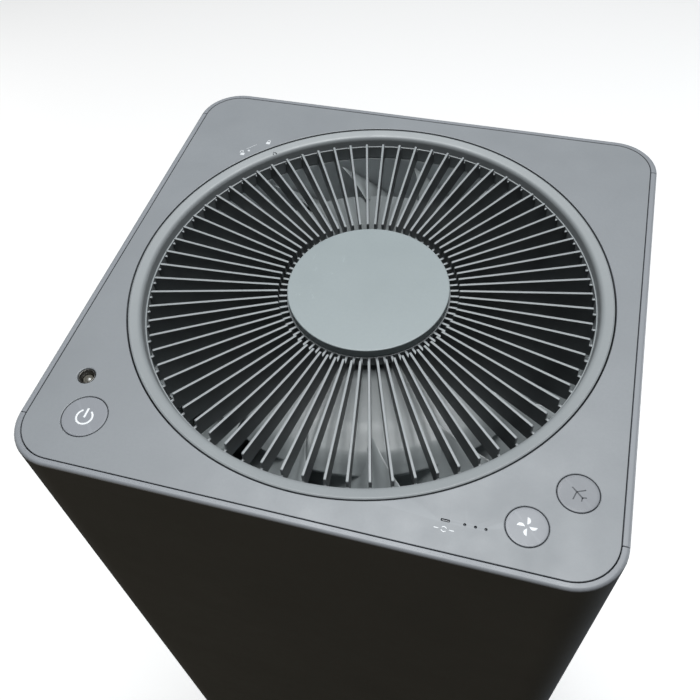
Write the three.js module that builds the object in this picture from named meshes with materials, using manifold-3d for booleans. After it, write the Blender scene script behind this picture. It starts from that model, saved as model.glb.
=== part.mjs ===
import * as THREE from 'three';
import { mergeVertices } from 'three/addons/utils/BufferGeometryUtils.js';
import Module from 'manifold-3d';

const wasm = await Module();
wasm.setup();

// Air purifier: a square tower that draws air in low through slots in all four sides, cleans it in a
// drum filter and blows it out through a round grille in the top. Millimetres, +Z up, front towards -Y,
// origin in the middle of the footprint at floor level.

// ---------------------------------------------------------------- driving sizes
const WIDTH = 250;
const DEPTH = 250;
const HEIGHT = 700;
const WALL = 3;
const CORNER_RADIUS = 21.5;
const EDGE_FILLET = 1.8;
const GAP = 0.3;
const FOOT_HEIGHT = 5;
const COVER_BOTTOM = 10;
const TRAY_TOP = 16;
const CORNER_WRAP = 21.3;
const PANEL_THICKNESS = 2.5;
const PANEL_MARGIN = 9.9;
const LOWER_DECK = 48;
const DECK_THICKNESS = 4;
const FILTER_HEIGHT = 294;
const FILTER_CLEARANCE = 24;
const FIN_COUNT = 72;
const FIN_THICKNESS = 1.2;
const FIN_BOTTOM = 13.3;
const HUB_RADIUS = 38.6;
const CAP_DEPTH = 3.5;
const RING_WIDTH = 7.6;
const RING_GAP = 0.4;
const RING_WALL = 3.5;
const RING_SEAT_DEPTH = 4;
const BLADE_COUNT = 16;
const BLADE_THICKNESS = 1.8;
const FIRST_BLADE_DEGREES = -71;
const BLADE_WRAP = 0.95;
const BLADE_LEAN = 0.0045;
const BLADE_BELOW_TOP = 17;
const FAN_DEPTH = 92;
const TIP_CLEARANCE = 1.6;
const INLET_STEP = 24;
const CONE_BELOW_TOP = 45;
const HUB_BELOW_TOP = 16.6;
const HUB_RIM_BELOW_TOP = 27;
const HUB_RIM_MARGIN = 16.8;
const BOSS_BELOW_TOP = 54;
const BOSS_RADIUS = 9;
const MOTOR_RADIUS = 34;
const MOTOR_CLEARANCE = 16.3;
const SHAFT_RADIUS = 3.9;
const POWER_BUTTON_RADIUS = 9.7;
const SMALL_BUTTON_RADIUS = 7.95;
const BUTTON_TRAVEL = 0.8;
const SENSOR_RADIUS = 3.95;
const SLOT_WIDTH = 3.6;
const SLOT_PITCH = 14;
const SLOT_ROWS = 2;
const SLOT_BRIDGE = 14;
const FRONT_SLOT_MARGIN = 22;
const SIDE_SLOT_MARGIN = 8;
const DOOR_SLOT_MARGIN = 6;
const POST_SIDE = 12;
const POST_INSET = 12;
const FOOT_RADIUS = 11;
const FOOT_INSET = 32;
const FOOT_RECESS = 3;
const SCREW_INSET = 15;
const SCREW_HEAD_RADIUS = 3.9;
const SCREW_SHANK_RADIUS = 1.7;
const FAN_BELOW_TOP = 16;
const FAN_ABOVE_DECK = 16;
const UPPER_DECK_BELOW_TOP = 28;
const BOARD_BELOW_TOP = 13.4;
const BOARD_THICKNESS = 1.6;
const BOARD_MARGIN = 7;
const DOOR_MARGIN = 3.5;
const FILTER_RIM = 8;
const FILTER_PLEAT_DEPTH = 30;
const SLOTS_ABOVE_DOOR_FOOT = 14;
const SLOTS_BELOW_DOOR_TOP = 36;
const TAB_WIDTH = 30;
const TAB_THICKNESS = 1.6;
const TAB_LENGTH = 62;
const LATCH_HALF_WIDTH = 22;
const LATCH_HEIGHT = 10;
const LATCH_BELOW_DOOR_TOP = 9;
const CUP_HEIGHT = 24;
const CUP_DEPTH = 13;
const CUP_WALL = 3;
const SOCKET_INSET = 52;
const SOCKET_HEIGHT = 30;
const SOCKET_HALF_WIDTH = 13;
const SOCKET_HALF_HEIGHT = 9;
const VENT_RISE = 60;
const VENT_HALF_WIDTH = 16;
const VENT_HALF_HEIGHT = 10;
const VENT_SLIT_PITCH = 4;
const VENT_SLIT_WIDTH = 1.8;
const LUG_WIDTH = 12;
const LUG_COUNT = 3;
const TWIST_DEGREES = 7.5;
const CUT_OVERRUN = 5;

// ---------------------------------------------------------------- sizes that follow from them
const halfWidth = WIDTH / 2;
const halfDepth = DEPTH / 2;
const innerHalfWidth = halfWidth - WALL;
const innerHalfDepth = halfDepth - WALL;
const innerCorner = CORNER_RADIUS - WALL;
const seamY = halfDepth - CORNER_WRAP;
const panelBottom = HEIGHT - PANEL_THICKNESS;

const holeRadius = Math.min(innerHalfWidth, innerHalfDepth) - PANEL_MARGIN;
const ringOuter = holeRadius - RING_GAP;
const ringThroat = ringOuter - RING_WIDTH;
const ringBack = ringThroat + RING_WALL;
const ringSeat = HEIGHT - RING_SEAT_DEPTH;
const ductRadius = ringThroat + 0.2;
const ductWall = 2.7;
const inletRadius = ductRadius - INLET_STEP;

const filterRadius = Math.min(innerHalfWidth, innerHalfDepth) - FILTER_CLEARANCE;
const filterBottom = LOWER_DECK + DECK_THICKNESS + 2 * GAP;
const filterTop = filterBottom + FILTER_HEIGHT;
const filterBore = filterRadius - FILTER_PLEAT_DEPTH;
const filterDeck = filterTop + FILTER_RIM;

const fanBottom = HEIGHT - FAN_BELOW_TOP - FAN_DEPTH;
const fanDeck = fanBottom - FAN_ABOVE_DECK - DECK_THICKNESS;
const upperDeck = HEIGHT - UPPER_DECK_BELOW_TOP;
const boardTop = HEIGHT - BOARD_BELOW_TOP;

const doorHalfWidth = filterRadius + DOOR_MARGIN;
const doorBottom = LOWER_DECK + DECK_THICKNESS;
const doorTop = filterTop + 6;
const slotBottom = doorBottom + SLOTS_ABOVE_DOOR_FOOT;
const slotTop = doorTop - SLOTS_BELOW_DOOR_TOP;

// ---------------------------------------------------------------- colours and finishes
const material = (color, roughness, metalness = 0) =>
  new THREE.MeshStandardMaterial({ color, roughness, metalness });
const housing = material(0x8a8d92, 0.5);
const grillePlastic = material(0x989c9f, 0.5);
const fanPlastic = material(0xa4a8aa, 0.45);
const darkPlastic = material(0x2f3236, 0.6);
const framePlastic = material(0x6f7276, 0.6);
const buttonPlastic = material(0x8f9297, 0.5);
const rubber = material(0x1d1e20, 0.9);
const steel = material(0xa7aaad, 0.35, 1);
const boardGreen = material(0x1f5a3c, 0.6);
const lensPlastic = material(0x24231d, 0.15);
const clearPlastic = material(0xc9ced2, 0.3);
const filterMedia = material(0xe6e7e4, 0.9);
const filterRim = material(0x4f5860, 0.6);
const tabPlastic = material(0x3d4247, 0.8);

// ---------------------------------------------------------------- geometry helpers
function solid(geometry) {
  const plain = geometry.clone();
  plain.deleteAttribute('normal');
  plain.deleteAttribute('uv');
  const merged = mergeVertices(plain, 1e-4);
  const points = merged.attributes.position.array;
  const faces = [];
  let volume = 0;
  const corner = (i) => new THREE.Vector3(points[3 * i], points[3 * i + 1], points[3 * i + 2]);
  for (let i = 0; i < merged.index.count; i += 3) {
    const a = merged.index.getX(i);
    const b = merged.index.getX(i + 1);
    const c = merged.index.getX(i + 2);
    if (a === b || b === c || a === c) continue;
    faces.push([a, b, c]);
    volume += corner(a).dot(corner(b).cross(corner(c)));
  }
  if (volume < 0) faces.forEach((face) => face.reverse());
  return new wasm.Manifold(new wasm.Mesh({
    numProp: 3,
    vertProperties: new Float32Array(points),
    triVerts: new Uint32Array(faces.flat()),
  }));
}

function geometryOf(body) {
  const mesh = body.getMesh();
  const geometry = new THREE.BufferGeometry();
  geometry.setAttribute('position', new THREE.BufferAttribute(mesh.vertProperties, 3));
  geometry.setIndex(new THREE.BufferAttribute(mesh.triVerts, 1));
  const flat = geometry.toNonIndexed();
  flat.computeVertexNormals();
  return flat;
}

function join(bodies) {
  return bodies.reduce((sum, body) => sum.add(body));
}

function cut(body, tools) {
  return tools.reduce((rest, tool) => rest.subtract(tool), body);
}

function block(x0, x1, y0, y1, z0, z1) {
  const geometry = new THREE.BoxGeometry(x1 - x0, y1 - y0, z1 - z0);
  geometry.translate((x0 + x1) / 2, (y0 + y1) / 2, (z0 + z1) / 2);
  return solid(geometry);
}

function disc(radius, z0, z1, x = 0, y = 0, segments = 32) {
  const geometry = new THREE.CylinderGeometry(radius, radius, z1 - z0, segments);
  geometry.rotateX(Math.PI / 2);
  geometry.translate(x, y, (z0 + z1) / 2);
  return solid(geometry);
}

// A body turned about the Z axis from [radius, height] pairs; the profile ends on the axis or closes.
function turned(profile, segments = 48) {
  const points = profile.map(([radius, height]) => new THREE.Vector2(radius, height));
  const onAxis = profile[0][0] === 0 && profile[profile.length - 1][0] === 0;
  if (!onAxis) points.push(points[0].clone());
  const geometry = new THREE.LatheGeometry(points, segments);
  geometry.rotateX(Math.PI / 2);
  return solid(geometry);
}

function roundedRectangle(halfX, halfY, radius, steps = 8) {
  const points = [];
  for (let quarter = 0; quarter < 4; quarter++) {
    const signX = quarter === 0 || quarter === 3 ? 1 : -1;
    const signY = quarter < 2 ? 1 : -1;
    for (let i = 0; i <= steps; i++) {
      const angle = (quarter + i / steps) * Math.PI / 2;
      const x = signX * (halfX - radius) + radius * Math.cos(angle);
      const y = signY * (halfY - radius) + radius * Math.sin(angle);
      points.push(new THREE.Vector2(x, y));
    }
  }
  return points;
}

function circle(radius, x = 0, y = 0, steps = 48) {
  const points = [];
  for (let i = 0; i < steps; i++) {
    const angle = i / steps * 2 * Math.PI;
    points.push(new THREE.Vector2(x + radius * Math.cos(angle), y + radius * Math.sin(angle)));
  }
  return points;
}

function plate(outline, z0, z1, bevel = 0, bevelSegments = 1, holes = []) {
  const shape = new THREE.Shape(outline);
  holes.forEach((hole) => shape.holes.push(new THREE.Path(hole)));
  const geometry = new THREE.ExtrudeGeometry(shape, {
    depth: z1 - z0 - 2 * bevel,
    bevelEnabled: bevel > 0,
    bevelThickness: bevel,
    bevelSize: bevel,
    bevelOffset: -bevel,
    bevelSegments,
  });
  geometry.translate(0, 0, z0 + bevel);
  return solid(geometry);
}

const purifier = new THREE.Group();
purifier.name = 'air_purifier';

function add(name, body, finish, x = 0, y = 0, z = 0, parent = purifier) {
  const mesh = new THREE.Mesh(geometryOf(body), finish);
  mesh.name = name;
  mesh.position.set(x, y, z);
  parent.add(mesh);
  return mesh;
}

// ---------------------------------------------------------------- housing
const slotHeight = (slotTop - slotBottom - (SLOT_ROWS - 1) * SLOT_BRIDGE) / SLOT_ROWS;

// Boxes for a field of upright intake slots; the field is reach wide to each side of the middle.
function intakeSlots(reach, place) {
  const columns = 2 * Math.floor(reach / SLOT_PITCH - 0.5) + 2;
  const slots = [];
  for (let column = 0; column < columns; column++) {
    const along = (column - (columns - 1) / 2) * SLOT_PITCH;
    for (let row = 0; row < SLOT_ROWS; row++) {
      const z0 = slotBottom + row * (slotHeight + SLOT_BRIDGE);
      slots.push(place(along - SLOT_WIDTH / 2, along + SLOT_WIDTH / 2, z0, z0 + slotHeight));
    }
  }
  return slots;
}

function coverShell() {
  const outside = plate(
    roundedRectangle(halfWidth, halfDepth, CORNER_RADIUS), COVER_BOTTOM, HEIGHT, EDGE_FILLET, 3);
  const inside = plate(
    roundedRectangle(innerHalfWidth, innerHalfDepth, innerCorner), 
    COVER_BOTTOM - CUT_OVERRUN, HEIGHT + CUT_OVERRUN);
  return outside.subtract(inside);
}

const shell = coverShell();
const far = 2 * (WIDTH + DEPTH + HEIGHT);
const seamHalf = GAP / 2;

const frontSlots = intakeSlots(innerHalfWidth - FRONT_SLOT_MARGIN, (a, b, z0, z1) =>
  block(a, b, -halfDepth - CUT_OVERRUN, -innerHalfDepth + CUT_OVERRUN, z0, z1));
const frontPart = shell.intersect(block(-far, far, -far, -seamY - seamHalf, -far, far));
add('front_cover', cut(frontPart, frontSlots), housing);

const doorOpening = block(
  -doorHalfWidth, doorHalfWidth, innerHalfDepth - CUT_OVERRUN, halfDepth + CUT_OVERRUN, doorBottom, doorTop);
const socketX = innerHalfWidth - SOCKET_INSET;
const socketOpening = block(
  socketX - SOCKET_HALF_WIDTH, socketX + SOCKET_HALF_WIDTH,
  innerHalfDepth - CUT_OVERRUN, halfDepth + CUT_OVERRUN,
  SOCKET_HEIGHT - SOCKET_HALF_HEIGHT, SOCKET_HEIGHT + SOCKET_HALF_HEIGHT);
const rearPart = shell.intersect(block(-far, far, seamY + seamHalf, far, -far, far));
add('rear_cover', cut(rearPart, [doorOpening, socketOpening]), housing);

const ventZ = filterDeck + VENT_RISE;
const ventOpening = block(
  -halfWidth - CUT_OVERRUN, -innerHalfWidth + CUT_OVERRUN, -VENT_HALF_WIDTH, VENT_HALF_WIDTH,
  ventZ - VENT_HALF_HEIGHT, ventZ + VENT_HALF_HEIGHT);
for (const side of [-1, 1]) {
  const reach = seamY - seamHalf;
  const x0 = side < 0 ? -far : 0;
  const x1 = side < 0 ? 0 : far;
  const part = shell.intersect(block(x0, x1, -reach, reach, -far, far));
  const slots = intakeSlots(seamY - SIDE_SLOT_MARGIN, (a, b, z0, z1) => side < 0
    ? block(-halfWidth - CUT_OVERRUN, -innerHalfWidth + CUT_OVERRUN, a, b, z0, z1)
    : block(innerHalfWidth - CUT_OVERRUN, halfWidth + CUT_OVERRUN, a, b, z0, z1));
  const tools = side < 0 ? [...slots, ventOpening] : slots;
  add(side < 0 ? 'left_side_panel' : 'right_side_panel', cut(part, tools), housing);
}

// Vent cover of the dust sensor, set in the left side panel.
const ventSlits = [-1.5, -0.5, 0.5, 1.5].map((step) => {
  const z = ventZ + VENT_SLIT_PITCH * step;
  return block(
    -halfWidth - CUT_OVERRUN, -innerHalfWidth + CUT_OVERRUN, -VENT_HALF_WIDTH + 4, VENT_HALF_WIDTH - 4,
    z - VENT_SLIT_WIDTH / 2, z + VENT_SLIT_WIDTH / 2);
});
const ventPlate = block(
  -halfWidth + 0.6, -innerHalfWidth, -VENT_HALF_WIDTH + GAP, VENT_HALF_WIDTH - GAP,
  ventZ - VENT_HALF_HEIGHT + GAP, ventZ + VENT_HALF_HEIGHT - GAP);
add('sensor_vent_cover', cut(ventPlate, ventSlits), darkPlastic);

// ---------------------------------------------------------------- base
const footX = halfWidth - FOOT_INSET;
const footY = halfDepth - FOOT_INSET;
const screwX = halfWidth - SCREW_INSET;
const screwY = halfDepth - SCREW_INSET;
const pilotRadius = SCREW_SHANK_RADIUS + GAP + 0.1;
const headSeat = FOOT_HEIGHT + 4;
const footPlaces = [
  ['front_left', -1, -1], ['front_right', 1, -1], ['rear_left', -1, 1], ['rear_right', 1, 1]];

const tray = cut(
  plate(
    roundedRectangle(innerHalfWidth - GAP, innerHalfDepth - GAP, innerCorner - GAP),
    FOOT_HEIGHT, TRAY_TOP),
  footPlaces.flatMap(([, sx, sy]) => [
    disc(FOOT_RADIUS + GAP, FOOT_HEIGHT - 1, FOOT_HEIGHT + FOOT_RECESS, sx * footX, sy * footY, 24),
    disc(SCREW_HEAD_RADIUS + GAP, FOOT_HEIGHT - 1, headSeat, sx * screwX, sy * screwY, 16),
    disc(pilotRadius, FOOT_HEIGHT, TRAY_TOP + 1, sx * screwX, sy * screwY, 12),
  ]));
add('base_tray', tray, darkPlastic);

const footTop = FOOT_HEIGHT + FOOT_RECESS - GAP;
const foot = turned([
  [0, 0], [FOOT_RADIUS - 1.2, 0], [FOOT_RADIUS, 1.2], [FOOT_RADIUS, footTop], [0, footTop]], 20);
const screwTop = headSeat - GAP;
const screw = turned([
  [0, FOOT_HEIGHT + 1], [SCREW_HEAD_RADIUS - 1.3, FOOT_HEIGHT + 1], [SCREW_HEAD_RADIUS, FOOT_HEIGHT + 2],
  [SCREW_HEAD_RADIUS, screwTop], [SCREW_SHANK_RADIUS, screwTop], [SCREW_SHANK_RADIUS, FOOT_HEIGHT + 20],
  [0, FOOT_HEIGHT + 20]], 12)
  .subtract(block(-2.4, 2.4, -0.4, 0.4, FOOT_HEIGHT, FOOT_HEIGHT + 2));
for (const [place, sx, sy] of footPlaces) {
  add(`foot_${place}`, foot, rubber, sx * footX, sy * footY);
  add(`base_screw_${place}`, screw, steel, sx * screwX, sy * screwY);
}

// ---------------------------------------------------------------- inner frame
// Four corner posts pass through decks below the filter, above it, below the fan and below the top panel.
const frameClearance = 0.5;
const frameX = innerHalfWidth - frameClearance;
const frameY = innerHalfDepth - frameClearance;
const frameCorner = innerCorner - frameClearance;
const postX = innerHalfWidth - POST_INSET;
const postY = innerHalfDepth - POST_INSET;
const postHalf = POST_SIDE / 2;
const postHole = postHalf + GAP;
const postHoles = footPlaces.map(([, sx, sy]) => block(
  sx * postX - postHole, sx * postX + postHole, sy * postY - postHole, sy * postY + postHole,
  -far, far));

function addDeck(name, z, holes) {
  const outline = roundedRectangle(frameX, frameY, frameCorner, 4);
  const body = plate(outline, z, z + DECK_THICKNESS, 0, 1, holes);
  add(name, cut(body, postHoles), framePlastic);
}
addDeck('lower_deck', LOWER_DECK, []);
addDeck('filter_deck', filterDeck, [circle(filterBore - 6, 0, 0, 40)]);
addDeck('fan_deck', fanDeck, [circle(inletRadius - 4, 0, 0, 40)]);
addDeck('upper_deck', upperDeck, [circle(ductRadius + ductWall + 2 * GAP, 0, 0, 60)]);
const postTop = upperDeck + DECK_THICKNESS + 1;
for (const [place, sx, sy] of footPlaces) {
  const pilot = disc(
    pilotRadius, TRAY_TOP, TRAY_TOP + 12, sx * (screwX - postX), sy * (screwY - postY), 12);
  const post = block(-postHalf, postHalf, -postHalf, postHalf, TRAY_TOP + GAP, postTop);
  add(`corner_post_${place}`, post.subtract(pilot), framePlastic, sx * postX, sy * postY);
}

// ---------------------------------------------------------------- filter and door
const mediaRadius = filterRadius - 1.5;
const mediaBottom = filterBottom + FILTER_RIM;
const mediaTop = filterTop - FILTER_RIM;
const ringBore = filterBore - 4;
const media = turned([
  [filterBore, mediaBottom], [mediaRadius, mediaBottom], [mediaRadius, mediaTop],
  [filterBore, mediaTop]], 40);
add('filter_media', media, filterMedia);
const topRing = turned([
  [filterBore + 2, mediaTop + GAP], [filterRadius, mediaTop + GAP], [filterRadius, filterTop],
  [ringBore, filterTop], [ringBore, filterTop - 5], [filterBore + 2, filterTop - 5]], 40);
add('filter_top_ring', topRing, filterRim);
const bottomCap = turned([
  [0, filterBottom], [filterRadius, filterBottom], [filterRadius, mediaBottom - GAP],
  [filterBore, mediaBottom - GAP], [filterBore - 3, filterBottom + 4], [0, filterBottom + 4]], 40);
add('filter_bottom_cap', bottomCap, filterRim);
const tabTop = filterTop - 1;
const tabFace = filterRadius + GAP;
const pullTab = block(
  -TAB_WIDTH / 2, TAB_WIDTH / 2, tabFace, tabFace + TAB_THICKNESS, tabTop - TAB_LENGTH, tabTop);
add('filter_pull_tab', pullTab, tabPlastic);

const latchTop = doorTop - LATCH_BELOW_DOOR_TOP;
const cupBottom = latchTop - CUP_HEIGHT;
const cupBack = innerHalfDepth - CUP_DEPTH;
const doorPlate = block(
  -doorHalfWidth + GAP, doorHalfWidth - GAP, innerHalfDepth, halfDepth,
  doorBottom + GAP, doorTop - GAP);
const cupBlock = block(
  -LATCH_HALF_WIDTH - CUP_WALL, LATCH_HALF_WIDTH + CUP_WALL, cupBack, innerHalfDepth + 1,
  cupBottom - CUP_WALL, latchTop + CUP_WALL);
const cupHollow = block(
  -LATCH_HALF_WIDTH, LATCH_HALF_WIDTH, cupBack + 2, halfDepth + CUT_OVERRUN, cupBottom, latchTop);
const doorSlots = intakeSlots(doorHalfWidth - DOOR_SLOT_MARGIN, (a, b, z0, z1) =>
  block(a, b, innerHalfDepth - CUT_OVERRUN, halfDepth + CUT_OVERRUN, z0, z1));
add('filter_door', cut(doorPlate.add(cupBlock), [cupHollow, ...doorSlots]), housing);

// Press latch: a finger pad across the top of the cup and a bolt behind it.
const latch = join([
  block(
    -LATCH_HALF_WIDTH + GAP, LATCH_HALF_WIDTH - GAP, innerHalfDepth - 4, halfDepth - 0.8,
    latchTop - GAP - LATCH_HEIGHT, latchTop - GAP),
  block(
    -LATCH_HALF_WIDTH + 6, LATCH_HALF_WIDTH - 6, cupBack + 2 + GAP, innerHalfDepth - 3,
    latchTop - GAP - 3, latchTop - GAP),
]);
add('door_latch', latch, buttonPlastic);

// ---------------------------------------------------------------- power inlet and boards
const PIN_HALF_PITCH = 4.3;
const inletBody = block(
  socketX - SOCKET_HALF_WIDTH + GAP, socketX + SOCKET_HALF_WIDTH - GAP,
  innerHalfDepth - 20, halfDepth - 0.4,
  SOCKET_HEIGHT - SOCKET_HALF_HEIGHT + GAP, SOCKET_HEIGHT + SOCKET_HALF_HEIGHT - GAP);
const inletWell = block(
  socketX - SOCKET_HALF_WIDTH + 3.5, socketX + SOCKET_HALF_WIDTH - 3.5,
  innerHalfDepth - 12, halfDepth + CUT_OVERRUN,
  SOCKET_HEIGHT - SOCKET_HALF_HEIGHT + 4, SOCKET_HEIGHT + SOCKET_HALF_HEIGHT - 4);
const inletPins = [-PIN_HALF_PITCH, PIN_HALF_PITCH].map((dx) => block(
  socketX + dx - 1, socketX + dx + 1, innerHalfDepth - 13, halfDepth - 4,
  SOCKET_HEIGHT - 1, SOCKET_HEIGHT + 1));
add('power_inlet', join([inletBody.subtract(inletWell), ...inletPins]), darkPlastic);

// Power board: the board, a transformer, a capacitor and a filter choke, on four standoffs.
const powerBoardParts = [
  block(-60, 40, -10, 80, TRAY_TOP + 3, TRAY_TOP + 4.6),
  block(-48, -14, 24, 52, TRAY_TOP + 4, TRAY_TOP + 24),
  disc(8, TRAY_TOP + 4, TRAY_TOP + 26, 4, 52, 20),
  block(12, 34, 4, 26, TRAY_TOP + 4, TRAY_TOP + 18),
];
for (const [x, y] of [[-54, -4], [34, -4], [-54, 74], [34, 74]]) {
  powerBoardParts.push(disc(3, TRAY_TOP + GAP, TRAY_TOP + 4, x, y, 12));
}
add('power_board', join(powerBoardParts), boardGreen);

// Main board: stands behind the fan, with its processor and two connectors.
const mainBoardY = innerHalfDepth - 9;
const mainBoardZ = filterDeck + DECK_THICKNESS + 3;
const mainBoard = join([
  block(-46, 46, mainBoardY, mainBoardY + BOARD_THICKNESS, mainBoardZ, mainBoardZ + 90),
  block(-12, 12, mainBoardY - 2, mainBoardY + 1, mainBoardZ + 34, mainBoardZ + 58),
  block(20, 38, mainBoardY - 8, mainBoardY + 1, mainBoardZ + 8, mainBoardZ + 18),
  block(-38, -20, mainBoardY - 8, mainBoardY + 1, mainBoardZ + 68, mainBoardZ + 78),
]);
add('main_board', mainBoard, boardGreen);

const dustSensor = join([
  block(-innerHalfWidth + 1, -innerHalfWidth + 17, -23, 23, ventZ - 18, ventZ + 18),
  block(-innerHalfWidth + 16, -innerHalfWidth + 21, -10, 10, ventZ - 8, ventZ + 8),
]).subtract(block(-innerHalfWidth, -innerHalfWidth + 8, -12, 12, ventZ - 7.6, ventZ + 7.6));
add('dust_sensor', dustSensor, darkPlastic);

// ---------------------------------------------------------------- air path
const ductFoot = filterDeck + DECK_THICKNESS;
const ductFlange = 3.5;
const ductSlope = 2.5;
const intakeInner = filterBore - 2;
const intakeDuct = turned([
  [intakeInner, ductFoot + GAP], [intakeInner + 12, ductFoot + GAP],
  [intakeInner + 12, ductFoot + ductFlange], [intakeInner + ductSlope, ductFoot + ductFlange],
  [inletRadius - 4, fanDeck - ductFlange], [inletRadius + 6, fanDeck - ductFlange],
  [inletRadius + 6, fanDeck - GAP], [inletRadius - 4 - ductSlope, fanDeck - GAP]], 40);
add('intake_duct', intakeDuct, framePlastic);

// Fan duct: a throat round the inlet, widening to the outlet, with a rim that carries the grille.
const throatTop = fanBottom + 4;
const coneTop = HEIGHT - CONE_BELOW_TOP;
const fanDuctFoot = fanDeck + DECK_THICKNESS + GAP;
const seatZ = HEIGHT - FIN_BOTTOM - 0.6;
const ductProfile = [
  [inletRadius, fanDuctFoot], [inletRadius + 12, fanDuctFoot], [inletRadius + 12, fanDuctFoot + 3],
  [inletRadius + ductWall, fanDuctFoot + 3], [inletRadius + ductWall, throatTop],
  [ductRadius + ductWall, coneTop], [ductRadius + ductWall, seatZ - 4],
  [ringOuter - 0.2, seatZ - 1], [ringOuter - 0.2, ringSeat - GAP], [ringBack + 0.6, ringSeat - GAP],
  [ringBack + 0.6, seatZ], [ductRadius, seatZ], [ductRadius, coneTop], [inletRadius, throatTop]];

// Three notches in the rim let the grille's lugs in and turn through its twist.
const lugTurns = [];
for (let i = 0; i < LUG_COUNT; i++) {
  lugTurns.push((i / LUG_COUNT + 1 / 12) * 2 * Math.PI);
}
const travelWidth = LUG_WIDTH / 2 + ringOuter * (TWIST_DEGREES + 3) * Math.PI / 180;
const lugNotches = lugTurns.map((turn) => {
  const geometry = new THREE.BoxGeometry(5, LUG_WIDTH / 2 + 2 + travelWidth, 7);
  geometry.translate(ringBack + 0.9, (travelWidth - LUG_WIDTH / 2 - 2) / 2, HEIGHT - 7);
  geometry.rotateZ(turn);
  return solid(geometry);
});
add('fan_duct', cut(turned(ductProfile, 48), lugNotches), fanPlastic);

// ---------------------------------------------------------------- fan
const hubTop = HEIGHT - HUB_BELOW_TOP;
const rimRadius = ductRadius - HUB_RIM_MARGIN;
const rimZ = HEIGHT - HUB_RIM_BELOW_TOP;
const hubFoot = MOTOR_RADIUS + MOTOR_CLEARANCE;
const coneSlope = (rimRadius - hubFoot) / (rimZ - fanBottom);
const bossBottom = HEIGHT - BOSS_BELOW_TOP;
const shaftBore = SHAFT_RADIUS + GAP;
const hubProfile = [
  [0, hubTop], [rimRadius * 0.8, hubTop - 1.2], [rimRadius * 0.94, hubTop - 4.6], [rimRadius, rimZ],
  [hubFoot, fanBottom], [hubFoot - 2.6, fanBottom], [rimRadius - 4, rimZ - 1.5],
  [rimRadius * 0.8, hubTop - 5.2], [BOSS_RADIUS, hubTop - 4.4],
  [BOSS_RADIUS, bossBottom], [shaftBore, bossBottom], [shaftBore, hubTop - 6], [0, hubTop - 6]];

const bladeTop = HEIGHT - BLADE_BELOW_TOP;

// Radius at which a blade starts inside the hub wall, and at which it ends short of the duct.
function bladeRoot(z) {
  const shoulder = (bladeTop - z) / (bladeTop - rimZ);
  if (z > rimZ) return rimRadius * (0.85 + 0.13 * shoulder);
  return hubFoot + (z - fanBottom) * coneSlope - 1.3;
}
function bladeTip(z) {
  const share = Math.min(1, Math.max(0, (z - throatTop) / (coneTop - throatTop)));
  return inletRadius + (ductRadius - inletRadius) * share - TIP_CLEARANCE;
}

function blade(turn) {
  const rows = 5;
  const columns = 2;
  const bottom = fanBottom + 3;
  const points = [];
  for (const side of [-1, 1]) {
    for (let row = 0; row <= rows; row++) {
      const share = row / rows;
      const z = bottom + (bladeTop - bottom) * (1 - (1 - share) ** 1.15);
      for (let column = 0; column <= columns; column++) {
        const radius = bladeRoot(z) + (bladeTip(z) - bladeRoot(z)) * column / columns;
        const wrap = BLADE_LEAN * (radius - rimRadius) - BLADE_WRAP * (1 - share) ** 1.1;
        const angle = turn + wrap + side * BLADE_THICKNESS / 2 / radius * (0.7 + 0.5 * (1 - share));
        points.push(radius * Math.cos(angle), radius * Math.sin(angle), z);
      }
    }
  }
  const wide = columns + 1;
  const sheet = wide * (rows + 1);
  const faces = [];
  const quad = (a, b, c, d) => faces.push(a, b, c, a, c, d);
  for (let row = 0; row < rows; row++) {
    for (let column = 0; column < columns; column++) {
      const a = row * wide + column;
      quad(a, a + wide, a + wide + 1, a + 1);
      quad(sheet + a, sheet + a + 1, sheet + a + wide + 1, sheet + a + wide);
    }
    const inner = row * wide;
    const outer = inner + columns;
    quad(inner, sheet + inner, sheet + inner + wide, inner + wide);
    quad(outer, outer + wide, sheet + outer + wide, sheet + outer);
  }
  for (let column = 0; column < columns; column++) {
    const low = column;
    const high = rows * wide + column;
    quad(low, low + 1, sheet + low + 1, sheet + low);
    quad(high, sheet + high, sheet + high + 1, high + 1);
  }
  const geometry = new THREE.BufferGeometry();
  geometry.setAttribute('position', new THREE.Float32BufferAttribute(points, 3));
  geometry.setIndex(faces);
  return solid(geometry);
}

const blades = [];
for (let i = 0; i < BLADE_COUNT; i++) {
  blades.push(blade((FIRST_BLADE_DEGREES + i * 360 / BLADE_COUNT) * Math.PI / 180));
}
add('fan_rotor', join([turned(hubProfile, 36), ...blades]), fanPlastic);

const motorFoot = fanBottom - 6;
const motorTop = bossBottom - 5;
const shaftTop = hubTop - 6.5;
add('fan_shaft', disc(SHAFT_RADIUS, motorFoot + 12, shaftTop, 0, 0, 20), steel);
const motor = turned([
  [0, motorFoot], [MOTOR_RADIUS - 3, motorFoot], [MOTOR_RADIUS, motorFoot + 3],
  [MOTOR_RADIUS, motorTop - 3], [MOTOR_RADIUS - 3, motorTop], [shaftBore, motorTop],
  [shaftBore, motorFoot + 10], [0, motorFoot + 10]], 32);
add('fan_motor', motor, darkPlastic);

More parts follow.
